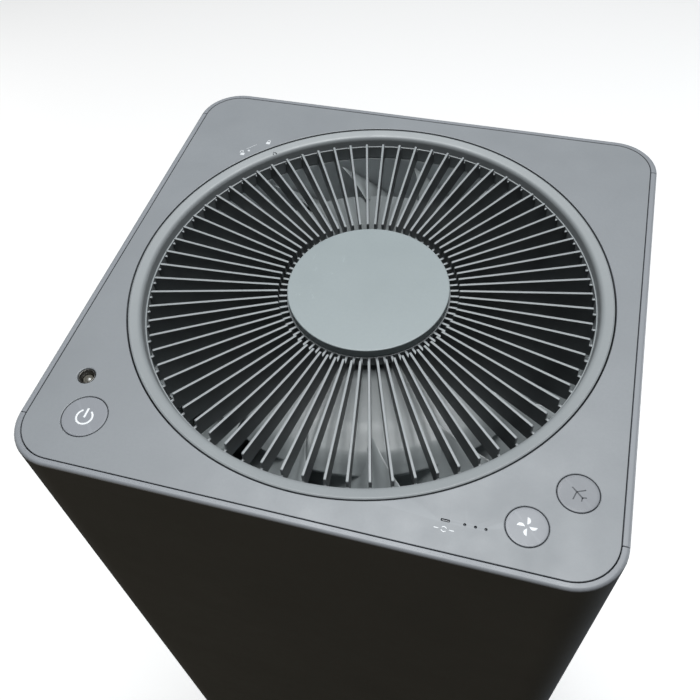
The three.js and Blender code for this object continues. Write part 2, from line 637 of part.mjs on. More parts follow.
// Motor mount: a ring seated on the fan deck flange, four arms and a round pad under the motor.
const mountZ = fanDuctFoot + GAP;
const mountOuter = inletRadius - GAP;
const mountArms = [0, 1, 2, 3].map((i) => {
  const geometry = new THREE.BoxGeometry(mountOuter - MOTOR_RADIUS + 6, 8, 5);
  geometry.translate((mountOuter + MOTOR_RADIUS - 6) / 2, 0, mountZ + 2.5);
  geometry.rotateZ((i + 0.5) * Math.PI / 2);
  return solid(geometry);
});
const mountRing = turned([
  [mountOuter - 5, mountZ], [mountOuter, mountZ], [mountOuter, mountZ + 5],
  [mountOuter - 5, mountZ + 5]], 40);
const mountPad = disc(MOTOR_RADIUS, mountZ, motorFoot - GAP);
add('motor_mount', join([mountRing, mountPad, ...mountArms]), framePlastic);

// ---------------------------------------------------------------- outlet grille
const ringProfile = [
  [ringOuter, HEIGHT - 0.9], [ringOuter - 1.4, HEIGHT - 0.1], [ringOuter - 4.9, HEIGHT - 1.1],
  [ringOuter - 5.6, HEIGHT - 1.7], [ringOuter - 5.9, HEIGHT - 2.7], [ringOuter - 6.3, HEIGHT - 6.2],
  [ringThroat, HEIGHT - 6.3], [ringThroat, HEIGHT - FIN_BOTTOM], [ringBack, HEIGHT - FIN_BOTTOM],
  [ringBack, ringSeat], [ringOuter, ringSeat]];
const finFoot = HEIGHT - FIN_BOTTOM + GAP;
const finInner = HUB_RADIUS + 3.9;
const finOuter = ringOuter - 8.7;
const finOutline = [
  [HUB_RADIUS - 1.2, finFoot], [ringBack - 1.5, finFoot],
  [ringBack - 1.5, HEIGHT - 6.9], [finOuter, HEIGHT - 6.9], [finOuter, HEIGHT - 2.8],
  [finInner, HEIGHT - 4.5], [finInner, HEIGHT - 8.4], [HUB_RADIUS - 1.2, HEIGHT - 8.4]];
const finShape = new THREE.Shape(finOutline.map(([u, z]) => new THREE.Vector2(u, z)));
const fins = [];
for (let i = 0; i < FIN_COUNT; i++) {
  const geometry = new THREE.ExtrudeGeometry(finShape, { depth: FIN_THICKNESS, bevelEnabled: false });
  geometry.translate(0, 0, -FIN_THICKNESS / 2);
  geometry.rotateX(Math.PI / 2);
  geometry.rotateZ(i * 2 * Math.PI / FIN_COUNT);
  fins.push(solid(geometry));
}
const grilleHub = turned([
  [HUB_RADIUS, HEIGHT - 8.2], [HUB_RADIUS, HEIGHT - FIN_BOTTOM - 0.4],
  [HUB_RADIUS - 2.4, HEIGHT - FIN_BOTTOM - 0.4], [HUB_RADIUS - 2.4, HEIGHT - 10.6],
  [0, HEIGHT - 10.6], [0, HEIGHT - 8.2]].reverse(), FIN_COUNT / 2);
const lugs = lugTurns.map((turn) => {
  const geometry = new THREE.BoxGeometry(3.4, LUG_WIDTH, 4);
  geometry.translate(ringBack + 0.9, 0, HEIGHT - 7.5);
  geometry.rotateZ(turn);
  return solid(geometry);
});
const halfFin = 180 / FIN_COUNT;
const ringAndHub = turned(ringProfile, FIN_COUNT).add(grilleHub).rotate([0, 0, halfFin]);
add('outlet_grille', join([ringAndHub, ...fins, ...lugs]), grillePlastic);

const capRadius = HUB_RADIUS - 0.5;
add('grille_cap', turned([
  [0, HEIGHT - CAP_DEPTH], [capRadius - 0.5, HEIGHT - CAP_DEPTH], [capRadius, HEIGHT - CAP_DEPTH - 0.5],
  [capRadius, HEIGHT - 7.9], [0, HEIGHT - 7.9]], 72), grillePlastic);

// ---------------------------------------------------------------- top panel
// Control places are measured in from the two front corners.
const powerAt = [-halfWidth + 28.5, -halfDepth + 25.4];
const sensorAt = [-halfWidth + 19.7, -halfDepth + 44.7];
const fanAt = [halfWidth - 37.1, -halfDepth + 20.5];
const turboAt = [halfWidth - 20.3, -halfDepth + 38.6];
const lightsY = -halfDepth + 15.7;
const barAt = halfWidth - 66.7;
const dotsAt = [halfWidth - 59.4, halfWidth - 55.4, halfWidth - 51.5];

const controlHoles = [
  circle(POWER_BUTTON_RADIUS + GAP, ...powerAt, 40),
  circle(SMALL_BUTTON_RADIUS + GAP, ...fanAt, 36),
  circle(SMALL_BUTTON_RADIUS + GAP, ...turboAt, 36),
  circle(SENSOR_RADIUS, ...sensorAt, 24),
];
const lightHoles = [
  block(barAt - 1.7, barAt + 1.7, lightsY - 0.5, lightsY + 0.5, panelBottom - 1, HEIGHT + 1),
  ...dotsAt.map((x) => disc(0.55, panelBottom - 1, HEIGHT + 1, x, lightsY, 12)),
];
const topPanel = plate(
  roundedRectangle(innerHalfWidth - GAP, innerHalfDepth - GAP, innerCorner - GAP),
  panelBottom, HEIGHT, 0, 1, [circle(holeRadius, 0, 0, 72), ...controlHoles]);
add('top_panel', cut(topPanel, lightHoles), housing);

// ---------------------------------------------------------------- buttons, switches and boards
const flangeTop = panelBottom - GAP;
const stemBottom = boardTop + 5.2;
function button(radius) {
  return turned([
    [0, HEIGHT], [radius, HEIGHT], [radius, flangeTop - 0.2],
    [radius + 1.1, flangeTop - 0.2], [radius + 1.1, flangeTop - 1.4], [2, flangeTop - 1.4],
    [2, stemBottom], [0, stemBottom]], 30);
}
const switchTop = stemBottom - BUTTON_TRAVEL - 0.15;
const tactSwitch = join([
  block(-3, 3, -3, 3, boardTop + GAP, switchTop - 0.6),
  disc(1.6, boardTop + 1, switchTop, 0, 0, 14),
]);
add('power_button', button(POWER_BUTTON_RADIUS), buttonPlastic, ...powerAt);
add('fan_speed_button', button(SMALL_BUTTON_RADIUS), buttonPlastic, ...fanAt);
add('turbo_button', button(SMALL_BUTTON_RADIUS), buttonPlastic, ...turboAt);
add('power_switch', tactSwitch, darkPlastic, ...powerAt);
add('fan_speed_switch', tactSwitch, darkPlastic, ...fanAt);
add('turbo_switch', tactSwitch, darkPlastic, ...turboAt);

const boardBottom = boardTop - BOARD_THICKNESS;
const boardInset = BOARD_MARGIN - WALL;
const boardOutline = plate(
  roundedRectangle(innerHalfWidth - boardInset, innerHalfDepth - boardInset, innerCorner - boardInset),
  upperDeck, HEIGHT);
const standoff = (x, y) => disc(2, upperDeck + DECK_THICKNESS + GAP, boardTop - 1, x, y, 12);
const boardFront = -halfDepth + BOARD_MARGIN;
const boardLeft = -halfWidth + BOARD_MARGIN;
const boardRight = halfWidth - BOARD_MARGIN;
const buttonBoard = join([
  block(boardLeft, boardLeft + 32, boardFront, boardFront + 44, boardBottom, boardTop),
  standoff(boardLeft + 20, boardFront + 5),
  standoff(boardLeft + 5, boardFront + 24),
]);
add('button_board', buttonBoard.intersect(boardOutline), boardGreen);
const modeBoard = join([
  block(boardRight - 66, boardRight, boardFront, boardFront + 18, boardBottom, boardTop),
  block(boardRight - 28, boardRight, boardFront, boardFront + 42, boardBottom, boardTop),
  standoff(boardRight - 60, boardFront + 4),
  standoff(boardRight - 4, boardFront + 20),
]);
add('mode_board', modeBoard.intersect(boardOutline), boardGreen);

const guideTop = HEIGHT - 0.15;
const lightGuide = join([
  block(barAt - 3, dotsAt[2] + 2, lightsY - 2, lightsY + 2, panelBottom - 3.3, panelBottom - GAP),
  block(barAt - 1.5, barAt + 1.5, lightsY - 0.35, lightsY + 0.35, panelBottom - 1, guideTop),
  ...dotsAt.map((x) => disc(0.4, panelBottom - 1, guideTop, x, lightsY, 12)),
]);
add('indicator_light_guide', lightGuide, clearPlastic);

// Light sensor: a metal funnel in the panel with a dark domed lens at its foot.
const funnel = turned([
  [SENSOR_RADIUS - GAP, HEIGHT - 0.1], [SENSOR_RADIUS - 0.75, HEIGHT - 0.1],
  [2.6, HEIGHT - 2.4], [2.6, panelBottom - 1.5], [SENSOR_RADIUS + 1, panelBottom - 1.5],
  [SENSOR_RADIUS + 1, panelBottom - GAP], [SENSOR_RADIUS - GAP, panelBottom - GAP]], 24);
add('light_sensor_bezel', funnel, steel, ...sensorAt);
add('light_sensor_lens', turned([
  [0, HEIGHT - 1.7], [1.2, HEIGHT - 1.9], [2, HEIGHT - 2.5], [2.25, HEIGHT - 3.3],
  [2.25, boardTop + GAP], [0, boardTop + GAP]], 20), lensPlastic, ...sensorAt);

export default purifier;
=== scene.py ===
import math

import bmesh
import bpy
from mathutils import Matrix, Vector
from mathutils.geometry import delaunay_2d_cdt


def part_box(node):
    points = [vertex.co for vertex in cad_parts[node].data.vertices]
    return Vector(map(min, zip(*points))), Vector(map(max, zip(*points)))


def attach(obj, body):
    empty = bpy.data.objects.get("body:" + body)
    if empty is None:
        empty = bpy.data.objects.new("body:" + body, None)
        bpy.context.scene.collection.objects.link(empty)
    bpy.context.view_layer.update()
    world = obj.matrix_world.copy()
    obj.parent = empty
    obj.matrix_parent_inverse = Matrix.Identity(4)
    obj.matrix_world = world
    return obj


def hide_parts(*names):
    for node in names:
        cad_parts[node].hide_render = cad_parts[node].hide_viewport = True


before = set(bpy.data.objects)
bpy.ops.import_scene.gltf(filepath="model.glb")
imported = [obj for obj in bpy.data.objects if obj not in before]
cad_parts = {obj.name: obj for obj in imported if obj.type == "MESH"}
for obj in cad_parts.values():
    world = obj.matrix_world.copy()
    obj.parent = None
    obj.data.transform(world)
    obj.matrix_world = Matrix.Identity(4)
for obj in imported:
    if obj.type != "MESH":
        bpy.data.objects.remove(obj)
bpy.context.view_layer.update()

# Shapes are worked out in millimetres and made in metres, in the frame's axes: front towards -Y.
MM = 0.001
GAP = 0.3


def box(node):
    """Lowest and highest corner of a CAD node, in millimetres."""
    low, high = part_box(node)
    return low / MM, high / MM


def middle(node):
    low, high = box(node)
    return (low + high) / 2


# ---------------------------------------------------------------- sizes from the frame
front_low, front_high = box("front_cover")
HALF_WIDTH = front_high.x
HALF_DEPTH = -front_low.y
TOP = front_high.z
BOTTOM = front_low.z
SEAM = -front_high.y
WALL = box("left_side_panel")[1].x + HALF_WIDTH
INNER = HALF_DEPTH - WALL
door_low, door_high = box("filter_door")
media_low, media_high = box("filter_media")

# ---------------------------------------------------------------- sizes of the fine shapes
CORNERS = ("front_left", "front_right", "rear_left", "rear_right")
CORNER_RADIUS = 21.5
EDGE_FILLET = 1.4
SEAM_CHAMFER = 0.18
COVER_HOLE_EDGE = 0.4
SLOT_WIDTH = 3.6
SLOT_PITCH = 14
SLOT_COLUMNS = 14
SLOT_EDGE = 0.35
SLOT_BRIDGE = 14
SLOT_BOTTOM = door_low.z - GAP + 14
SLOT_TOP = door_high.z + GAP - 36
PANEL_HOLE = 112.25
RING_OUTER = 111.7
THROAT = 104.1
FIN_COUNT = 72
FIN_THICKNESS = 1.2
FIN_BOTTOM = 13.3
HUB_RADIUS = 38.6
CAP_RADIUS = 38.1
CAP_DEPTH = 3.5
BLADE_COUNT = 16
BLADE_THICKNESS = 1.5
FIRST_BLADE = math.radians(-71)
PLEATS = 90
INK = 0.04
POWER_RADIUS = 9.7
SMALL_BUTTON_RADIUS = 7.95
LIGHT_BAR_INSET = 3
LIGHT_DOT_INSETS = (9.9, 5.9, 2)
GRILLE_SKIRT = THROAT + 3.5
# Flat rings beside the edges of holes and of walls, so that the rubbed-edge colour stays close to the edge.
FLAT_MARGIN = 0.4
FRAME_MARGIN = 0.5
# Edges sharper than these angles, in degrees, are kept crisp.
PLATE_SHARP = 18
WALL_SHARP = 20
PIECE_SHARP = 50
TURNED_SHARP = 60
PLEAT_SHARP = 80


# ---------------------------------------------------------------- outlines in a plane
def rounded(half_u, half_v, radius, steps=6, u=0.0, v=0.0):
    """An outline that grows: called with a growth, it gives the points of a rounded rectangle."""
    def outline(grow=0.0):
        points = []
        corner = max(radius + grow, 0.02)
        reach_u = half_u + grow - corner
        reach_v = half_v + grow - corner
        for quarter in range(4):
            sign_u = 1 if quarter in (0, 3) else -1
            sign_v = 1 if quarter < 2 else -1
            for i in range(steps + 1):
                angle = (quarter + i / steps) * math.pi / 2
                points.append((u + sign_u * reach_u + corner * math.cos(angle),
                               v + sign_v * reach_v + corner * math.sin(angle)))
        return points
    return outline


def circle(radius, steps=48, u=0.0, v=0.0):
    def outline(grow=0.0):
        turns = [2 * math.pi * i / steps for i in range(steps)]
        return [(u + (radius + grow) * math.cos(t), v + (radius + grow) * math.sin(t)) for t in turns]
    return outline


def polygon(points):
    """An outline through the given points, grown by moving each corner along its mitre."""
    def outline(grow=0.0):
        grown = []
        for before, here, after in zip(points[-1:] + points[:-1], points, points[1:] + points[:1]):
            a = (Vector(here) - Vector(before)).normalized()
            b = (Vector(after) - Vector(here)).normalized()
            normal = Vector((a.y + b.y, -a.x - b.x))
            scale = 2 / max(normal.length_squared, 0.5)
            grown.append((here[0] + normal.x * grow * scale, here[1] + normal.y * grow * scale))
        return grown
    return outline


def ribbon(points, width):
    """The outline of an open stroke along the points."""
    left, right = [], []
    for i, here in enumerate(points):
        ahead = Vector(points[min(i + 1, len(points) - 1)])
        behind = Vector(points[max(i - 1, 0)])
        along = (ahead - behind).normalized()
        side = Vector((-along.y, along.x)) * width / 2
        left.append(tuple(Vector(here) + side))
        right.append(tuple(Vector(here) - side))
    return polygon(right + left[::-1])


def arc(radius, start, end, steps=24, u=0.0, v=0.0):
    turns = [math.radians(start + (end - start) * i / steps) for i in range(steps + 1)]
    return [(u + radius * math.cos(t), v + radius * math.sin(t)) for t in turns]


def soften(profile, radius, steps=3, closed=False):
    """Rounds the corners of a profile; a corner may carry its own radius as a third number."""
    count = len(profile)
    result = []
    for i, item in enumerate(profile):
        here = Vector(item[:2])
        size = item[2] if len(item) > 2 else radius
        ends = not closed and i in (0, count - 1)
        if ends or size <= 0:
            result.append((here.x, here.y))
            continue
        before = Vector(profile[i - 1][:2]) - here
        after = Vector(profile[(i + 1) % count][:2]) - here
        a = here + before.normalized() * min(size, before.length * 0.48)
        b = here + after.normalized() * min(size, after.length * 0.48)
        for step in range(steps + 1):
            t = step / steps
            point = a * (1 - t) ** 2 + here * 2 * t * (1 - t) + b * t ** 2
            result.append((point.x, point.y))
    return result


def inside(point, loop):
    hit = False
    for (ax, ay), (bx, by) in zip(loop, loop[1:] + loop[:1]):
        if (ay > point[1]) != (by > point[1]):
            if point[0] < ax + (point[1] - ay) * (bx - ax) / (by - ay):
                hit = not hit
    return hit


# ---------------------------------------------------------------- ways to place a flat shape
def flat_on_top(u, v, w):
    return (u, v, w)


def on_back(u, v, w):
    return (u, w, v)


def on_left(u, v, w):
    return (-w, u, v)


def edge_profile(low, high, bevel, steps=2):
    """(inset, height) pairs up the rounded edge of a plate."""
    turns = [math.pi / 2 * i / steps for i in range(steps + 1)]
    foot = [(bevel * (1 - math.sin(t)), low + bevel * (1 - math.cos(t))) for t in turns]
    return foot + [(inset, high + low - w) for inset, w in reversed(foot)]


class Solid:
    """Points and faces of one piece, gathered ring by ring."""

    def __init__(self):
        self.points = []
        self.faces = []
        self.flat = {}

    def ring(self, points):
        first = len(self.points)
        self.points += [tuple(p) for p in points]
        return list(range(first, len(self.points)))

    def loop(self, outline, w, place):
        indices = self.ring([place(u, v, w) for u, v in outline])
        self.flat.update(zip(indices, outline))
        return indices

    def band(self, a, b, closed=True):
        count = max(len(a), len(b))
        for i in range(count if closed else count - 1):
            j = (i + 1) % count
            if len(a) == 1:
                self.faces.append((a[0], b[j], b[i]))
            elif len(b) == 1:
                self.faces.append((a[i], a[j], b[0]))
            else:
                self.faces.append((a[i], a[j], b[j], b[i]))

    def bands(self, rings, closed=False):
        for a, b in zip(rings, rings[1:] + (rings[:1] if closed else [])):
            self.band(a, b)

    def cap(self, ring):
        self.faces.append(tuple(ring))

    def fill(self, loops):
        """Faces between an outer loop and the holes in it, in the plane of the loops."""
        indices = [i for loop in loops for i in loop]
        place = {i: n for n, i in enumerate(indices)}
        points = [Vector(self.flat[i]) for i in indices]
        edges = []
        for loop in loops:
            edges += [(place[a], place[b]) for a, b in zip(loop, loop[1:] + loop[:1])]
        made = delaunay_2d_cdt(points, edges, [], 1, 1e-7)
        holes = [[self.flat[i] for i in loop] for loop in loops[1:]]
        for corners in made[2]:
            centre = sum((made[0][k] for k in corners), Vector((0, 0))) / len(corners)
            if not any(inside(centre, hole) for hole in holes):
                self.faces.append(tuple(indices[made[3][k][0]] for k in corners))

    def add(self, other, turn=None):
        first = len(self.points)
        self.points += [tuple(turn @ Vector(p)) if turn else p for p in other.points]
        self.faces += [tuple(first + i for i in face) for face in other.faces]


def slab(shape, low, high, bevel, place=flat_on_top, holes=(), steps=2, margin=0.0):
    """A plate with rounded edges; each hole is an outline and the bevel round it.

    A margin adds a flat ring beside every edge, which keeps the rubbed-edge colour close to the edge.
    """
    solid = Solid()
    foot, head = [], []
    for number, (outline, edge) in enumerate([(shape, bevel), *holes]):
        sign = 1 if number else -1
        profile = edge_profile(low, high, edge, steps)
        if margin:
            profile = [(edge + margin, low), *profile, (edge + margin, high)]
        rings = [solid.loop(outline(sign * inset), w, place) for inset, w in profile]
        solid.bands(rings)
        foot.append(rings[0])
        head.append(rings[-1])
    solid.fill(foot)
    solid.fill(head)
    return solid


def tub(shape, pocket, back, floor, front, bevel, place):
    """A block with a pocket sunk into its front."""
    solid = Solid()
    sides = [solid.loop(shape(-inset), w, place) for inset, w in edge_profile(back, front, bevel)]
    turns = [math.pi / 2 * i / 2 for i in range(3)]
    rims = [(bevel * (1 - math.sin(t)), front - bevel * (1 - math.cos(t))) for t in turns]
    walls = [solid.loop(pocket(grow), w, place) for grow, w in rims]
    walls.append(solid.loop(pocket(0), floor + bevel, place))
    walls.append(solid.loop(pocket(-bevel), floor, place))
    solid.bands(sides)
    solid.bands(walls)
    solid.cap(sides[0])
    solid.cap(walls[-1])
    solid.fill([sides[-1], walls[0]])
    return solid


def turned(profile, segments=96, place=flat_on_top, closed=False, at=(0.0, 0.0)):
    """A body turned about its axis from (radius, height) pairs."""
    solid = Solid()
    rings = []
    for radius, height in profile:
        if radius <= 1e-6:
            rings.append(solid.ring([place(at[0], at[1], height)]))
            continue
        turns = [2 * math.pi * i / segments for i in range(segments)]
        rings.append(solid.ring([place(at[0] + radius * math.cos(t), at[1] + radius * math.sin(t), height)
                                 for t in turns]))
    solid.bands(rings, closed)
    return solid


# ---------------------------------------------------------------- materials
# How far surfaces stand up, in metres.
FINE_GRAIN = 0.00005
BRUSHED_GRAIN = 0.00003
FIBRE_GRAIN = 0.0001


def nodes_of(name):
    material = bpy.data.materials.new(name)
    material.use_nodes = True
    tree = material.node_tree
    return material, tree, tree.nodes["Principled BSDF"]


def link(tree, source, target):
    tree.links.new(source, target)


def noise(tree, scale, detail=2.0, rough=0.5, stretch=(1, 1, 1)):
    """A noise texture in the frame's own coordinates, scale in features per metre."""
    coordinates = tree.nodes.new("ShaderNodeTexCoord")
    mapping = tree.nodes.new("ShaderNodeMapping")
    mapping.inputs["Scale"].default_value = stretch
    texture = tree.nodes.new("ShaderNodeTexNoise")
    texture.inputs["Scale"].default_value = scale
    texture.inputs["Detail"].default_value = detail
    texture.inputs["Roughness"].default_value = rough
    link(tree, coordinates.outputs["Object"], mapping.inputs["Vector"])
    link(tree, mapping.outputs["Vector"], texture.inputs["Vector"])
    return texture.outputs["Fac"]


def remap(tree, value, low, high, to_low, to_high):
    node = tree.nodes.new("ShaderNodeMapRange")
    node.inputs["From Min"].default_value = low
    node.inputs["From Max"].default_value = high
    node.inputs["To Min"].default_value = to_low
    node.inputs["To Max"].default_value = to_high
    link(tree, value, node.inputs["Value"])
    return node.outputs["Result"]


def mix(tree, factor, a, b):
    node = tree.nodes.new("ShaderNodeMix")
    node.data_type = "RGBA"
    link(tree, factor, node.inputs["Factor"])
    for value, socket in ((a, node.inputs["A"]), (b, node.inputs["B"])):
        if isinstance(value, bpy.types.NodeSocket):
            link(tree, value, socket)
        else:
            socket.default_value = (*value, 1)
    return node.outputs["Result"]


def multiply(tree, a, b):
    node = tree.nodes.new("ShaderNodeMath")
    node.operation = "MULTIPLY"
    link(tree, a, node.inputs[0])
    link(tree, b, node.inputs[1])
    return node.outputs["Value"]


def roughen(tree, shader, height, strength, distance):
    """Bump from a height; distance in metres."""
    bump = tree.nodes.new("ShaderNodeBump")
    bump.inputs["Strength"].default_value = strength
    bump.inputs["Distance"].default_value = distance
    link(tree, height, bump.inputs["Height"])
    link(tree, bump.outputs["Normal"], shader.inputs["Normal"])


def seen_by_camera(tree, others, camera, output):
    """One shader for the rays of the camera, and another for all other rays."""
    path = tree.nodes.new("ShaderNodeLightPath")
    choose = tree.nodes.new("ShaderNodeMixShader")
    link(tree, path.outputs["Is Camera Ray"], choose.inputs["Fac"])
    link(tree, others, choose.inputs[1])
    link(tree, camera, choose.inputs[2])
    link(tree, choose.outputs["Shader"], tree.nodes[output].inputs["Surface"])


def shade(colour, factor):
    return tuple(min(1.0, c * factor) for c in colour)


def moulded(name, colour, roughness=0.45, grain=2600, depth=0.05, spread=0.05, wear=1.12, marks=None):
    """Moulded plastic: cloudy colour, a fine spark-eroded grain, and edges rubbed a little lighter."""
    material, tree, shader = nodes_of(name)
    cloud = remap(tree, noise(tree, 22, 4), 0.3, 0.7, 0, 1)
    speck = remap(tree, noise(tree, grain / 3, 3, 0.7), 0.3, 0.7, 0, 1)
    base = mix(tree, cloud, shade(colour, 1 - spread), shade(colour, 1 + spread))
    base = mix(tree, multiply(tree, speck, remap(tree, cloud, 0, 1, 0.25, 0.4)), base, shade(colour, 0.9))
    geometry = tree.nodes.new("ShaderNodeNewGeometry")
    edge = remap(tree, geometry.outputs["Pointiness"], 0.52, 0.6, 0, 0.6)
    base = mix(tree, edge, base, shade(colour, wear))
    # marks adds a further colour step: rubbed specks on the cap, painted shade on the fin flanks.
    if marks:
        base = marks(tree, base, colour)
    link(tree, base, shader.inputs["Base Color"])
    link(tree, remap(tree, noise(tree, 60, 5), 0.3, 0.7, roughness - 0.05, roughness + 0.06),
         shader.inputs["Roughness"])
    roughen(tree, shader, noise(tree, grain, 3, 0.6), depth * 4, FINE_GRAIN)
    return material


def scuffs(tree, base, colour):
    """Faint rubbed marks and specks in one patch of the disc."""
    coordinates = tree.nodes.new("ShaderNodeTexCoord")
    for place, size in (((-22, 10, TOP - CAP_DEPTH), 13), ((-27, -11, TOP - CAP_DEPTH), 8)):
        distance = tree.nodes.new("ShaderNodeVectorMath")
        distance.operation = "DISTANCE"
        link(tree, coordinates.outputs["Object"], distance.inputs[0])
        distance.inputs[1].default_value = tuple(c * MM for c in place)
        near = remap(tree, distance.outputs["Value"], size * MM, size * MM * 0.3, 0, 1)
        speck = remap(tree, noise(tree, 420, 6, 0.75, (1, 0.35, 1)), 0.6, 0.68, 0, 0.5)
        base = mix(tree, multiply(tree, near, speck), base, shade(colour, 1.7))
    return base


def painted_flank_shade(tree, base, colour):
    """Painted shade: upright faces are coloured darker than the tops, by how far the normal points up."""
    geometry = tree.nodes.new("ShaderNodeNewGeometry")
    parts = tree.nodes.new("ShaderNodeSeparateXYZ")
    link(tree, geometry.outputs["Normal"], parts.inputs["Vector"])
    return mix(tree, remap(tree, parts.outputs["Z"], 0.2, 0.8, 0, 1), shade(colour, 0.4), base)


def metal(name, colour, roughness):
    material, tree, shader = nodes_of(name)
    brushed = remap(tree, noise(tree, 900, 3, 0.6, (1, 1, 0.08)), 0.3, 0.7, 0, 1)
    link(tree, mix(tree, brushed, shade(colour, 0.85), shade(colour, 1.1)), shader.inputs["Base Color"])
    link(tree, remap(tree, noise(tree, 300, 4), 0.3, 0.7, roughness - 0.08, roughness + 0.1),
         shader.inputs["Roughness"])
    shader.inputs["Metallic"].default_value = 1
    roughen(tree, shader, brushed, 0.15, BRUSHED_GRAIN)
    return material


def paper(name, colour):
    """Filter paper: fibres along the pleats, and dust in the folds."""
    material, tree, shader = nodes_of(name)
    fibre = remap(tree, noise(tree, 1800, 4, 0.7, (1, 1, 0.2)), 0.3, 0.7, 0, 1)
    dust = remap(tree, noise(tree, 40, 5, 0.6), 0.4, 0.75, 0, 0.5)
    base = mix(tree, fibre, shade(colour, 0.88), shade(colour, 1.04))
    link(tree, mix(tree, dust, base, shade(colour, 0.72)), shader.inputs["Base Color"])
    link(tree, remap(tree, fibre, 0, 1, 0.82, 0.95), shader.inputs["Roughness"])
    shader.inputs["Sheen Weight"].default_value = 0.15
    roughen(tree, shader, fibre, 0.4, FIBRE_GRAIN)
    return material


def circuit(name):
    """Solder mask with copper tracks showing faintly through it."""
    material, tree, shader = nodes_of(name)
    tracks = tree.nodes.new("ShaderNodeTexBrick")
    coordinates = tree.nodes.new("ShaderNodeTexCoord")
    link(tree, coordinates.outputs["Object"], tracks.inputs["Vector"])
    tracks.inputs["Scale"].default_value = 160
    tracks.inputs["Color1"].default_value = (0.012, 0.085, 0.04, 1)
    tracks.inputs["Color2"].default_value = (0.016, 0.1, 0.05, 1)
    tracks.inputs["Mortar"].default_value = (0.05, 0.17, 0.07, 1)
    cloud = remap(tree, noise(tree, 90, 4), 0.3, 0.7, 0, 0.4)
    link(tree, mix(tree, cloud, tracks.outputs["Color"], (0.01, 0.06, 0.03)), shader.inputs["Base Color"])
    link(tree, remap(tree, noise(tree, 300, 3), 0.3, 0.7, 0.3, 0.45), shader.inputs["Roughness"])
    roughen(tree, shader, tracks.outputs["Fac"], 0.2, FINE_GRAIN)
    return material


def clear(name, colour, roughness, coat=0.5):
    material = moulded(name, colour, roughness, 1800, 0.02, 0.08, 1.05)
    shader = material.node_tree.nodes["Principled BSDF"]
    shader.inputs["Coat Weight"].default_value = coat
    shader.inputs["Coat Roughness"].default_value = 0.06
    return material


# Numbers after the colour: roughness, grain per metre, depth of the grain, how far the colour clouds
# spread, and how light the rubbed edges are.
housing = moulded("housing_plastic", (0.235, 0.248, 0.268), 0.46)
panel_plastic = moulded("panel_plastic", (0.24, 0.255, 0.272), 0.46)
grille_plastic = moulded("grille_satin", (0.275, 0.295, 0.305), 0.42, 2200, 0.03, 0.03, 1.08)
# The fin colour carries painted shade: its upright flanks are coloured darker than its tops.
fin_plastic = moulded("fin_satin", (0.28, 0.3, 0.31), 0.42, 2200, 0.03, 0.03, 1.08, painted_flank_shade)
cap_plastic = moulded("cap_satin", (0.285, 0.325, 0.335), 0.42, 2200, 0.03, 0.03, 1.08, scuffs)
button_plastic = moulded("button_satin", (0.245, 0.257, 0.28), 0.44, 2400, 0.03, 0.02, 1.1)
turbo_plastic = moulded("turbo_satin", (0.205, 0.215, 0.235), 0.44, 2400, 0.03, 0.02, 1.1)
fan_plastic = moulded("fan_satin", (0.25, 0.27, 0.275), 0.36, 1800, 0.02, 0.03, 1.08)
duct_plastic = moulded("duct_pale", (0.76, 0.8, 0.82), 0.5, 1800, 0.03)
frame_plastic = moulded("frame_grey", (0.14, 0.15, 0.16), 0.55, 1800, 0.05)
dark_plastic = moulded("dark_textured", (0.03, 0.032, 0.036), 0.55, 1800, 0.08, 0.12, 1.5)
rim_plastic = moulded("filter_rim_plastic", (0.08, 0.1, 0.12), 0.55, 1800, 0.05)
tab_plastic = moulded("tab_flexible", (0.05, 0.06, 0.07), 0.7, 1500, 0.1, 0.1, 1.3)
rubber = moulded("foot_rubber", (0.015, 0.015, 0.016), 0.85, 1300, 0.14, 0.2, 1.6)
steel = metal("zinc_plated", (0.55, 0.56, 0.57), 0.32)
board = circuit("solder_mask")
lens_plastic = clear("lens_dark", (0.1, 0.095, 0.08), 0.3, 0.6)
bezel_metal = metal("bezel_metal", (0.2, 0.195, 0.185), 0.38)
guide_plastic = clear("guide_frosted", (0.05, 0.055, 0.065), 0.35)
white_ink = moulded("white_legend", (0.82, 0.84, 0.86), 0.5, 2400, 0.02, 0.03, 1.0)
pale_ink = moulded("pale_legend", (0.66, 0.68, 0.7), 0.5, 2400, 0.02, 0.05, 1.0)
dark_ink = moulded("grey_legend", (0.05, 0.055, 0.065), 0.5, 2400, 0.02, 0.05, 1.0)
filter_paper = paper("pleat_paper", (0.75, 0.76, 0.74))


# ---------------------------------------------------------------- pieces
def piece(name, solid, body, material, replaces=(), sharp=PIECE_SHARP):
    mesh = bpy.data.meshes.new(name)
    mesh.from_pydata([tuple(c * MM for c in p) for p in solid.points], [], solid.faces)
    work = bmesh.new()
    work.from_mesh(mesh)
    bmesh.ops.remove_doubles(work, verts=work.verts, dist=1e-7)
    bmesh.ops.recalc_face_normals(work, faces=work.faces)
    work.to_mesh(mesh)
    work.free()
    mesh.shade_smooth()
    mesh.set_sharp_from_angle(angle=math.radians(sharp))
    mesh.materials.append(material)
    made = bpy.data.objects.new(name, mesh)
    bpy.context.scene.collection.objects.link(made)
    even = made.modifiers.new("even_normals", "WEIGHTED_NORMAL")
    even.keep_sharp = True
    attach(made, body)
    if replaces:
        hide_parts(*replaces)


def dress(material, *names):
    """A CAD node that keeps its shape gets its finish."""
    for name in names:
        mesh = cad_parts[name].data
        mesh.materials.clear()
        mesh.materials.append(material)


# ---------------------------------------------------------------- housing walls
def slot_field():
    """The intake slots of one side, as holes in (along, height)."""
    height = (SLOT_TOP - SLOT_BOTTOM - SLOT_BRIDGE) / 2
    holes = []
    for column in range(SLOT_COLUMNS):
        along = (column - (SLOT_COLUMNS - 1) / 2) * SLOT_PITCH
        for row in range(2):
            mid = SLOT_BOTTOM + height / 2 + row * (height + SLOT_BRIDGE)
            shape = rounded(SLOT_WIDTH / 2, height / 2, SLOT_WIDTH / 2 - 0.05, 5, along, mid)
            holes.append((shape, SLOT_EDGE))
    return holes


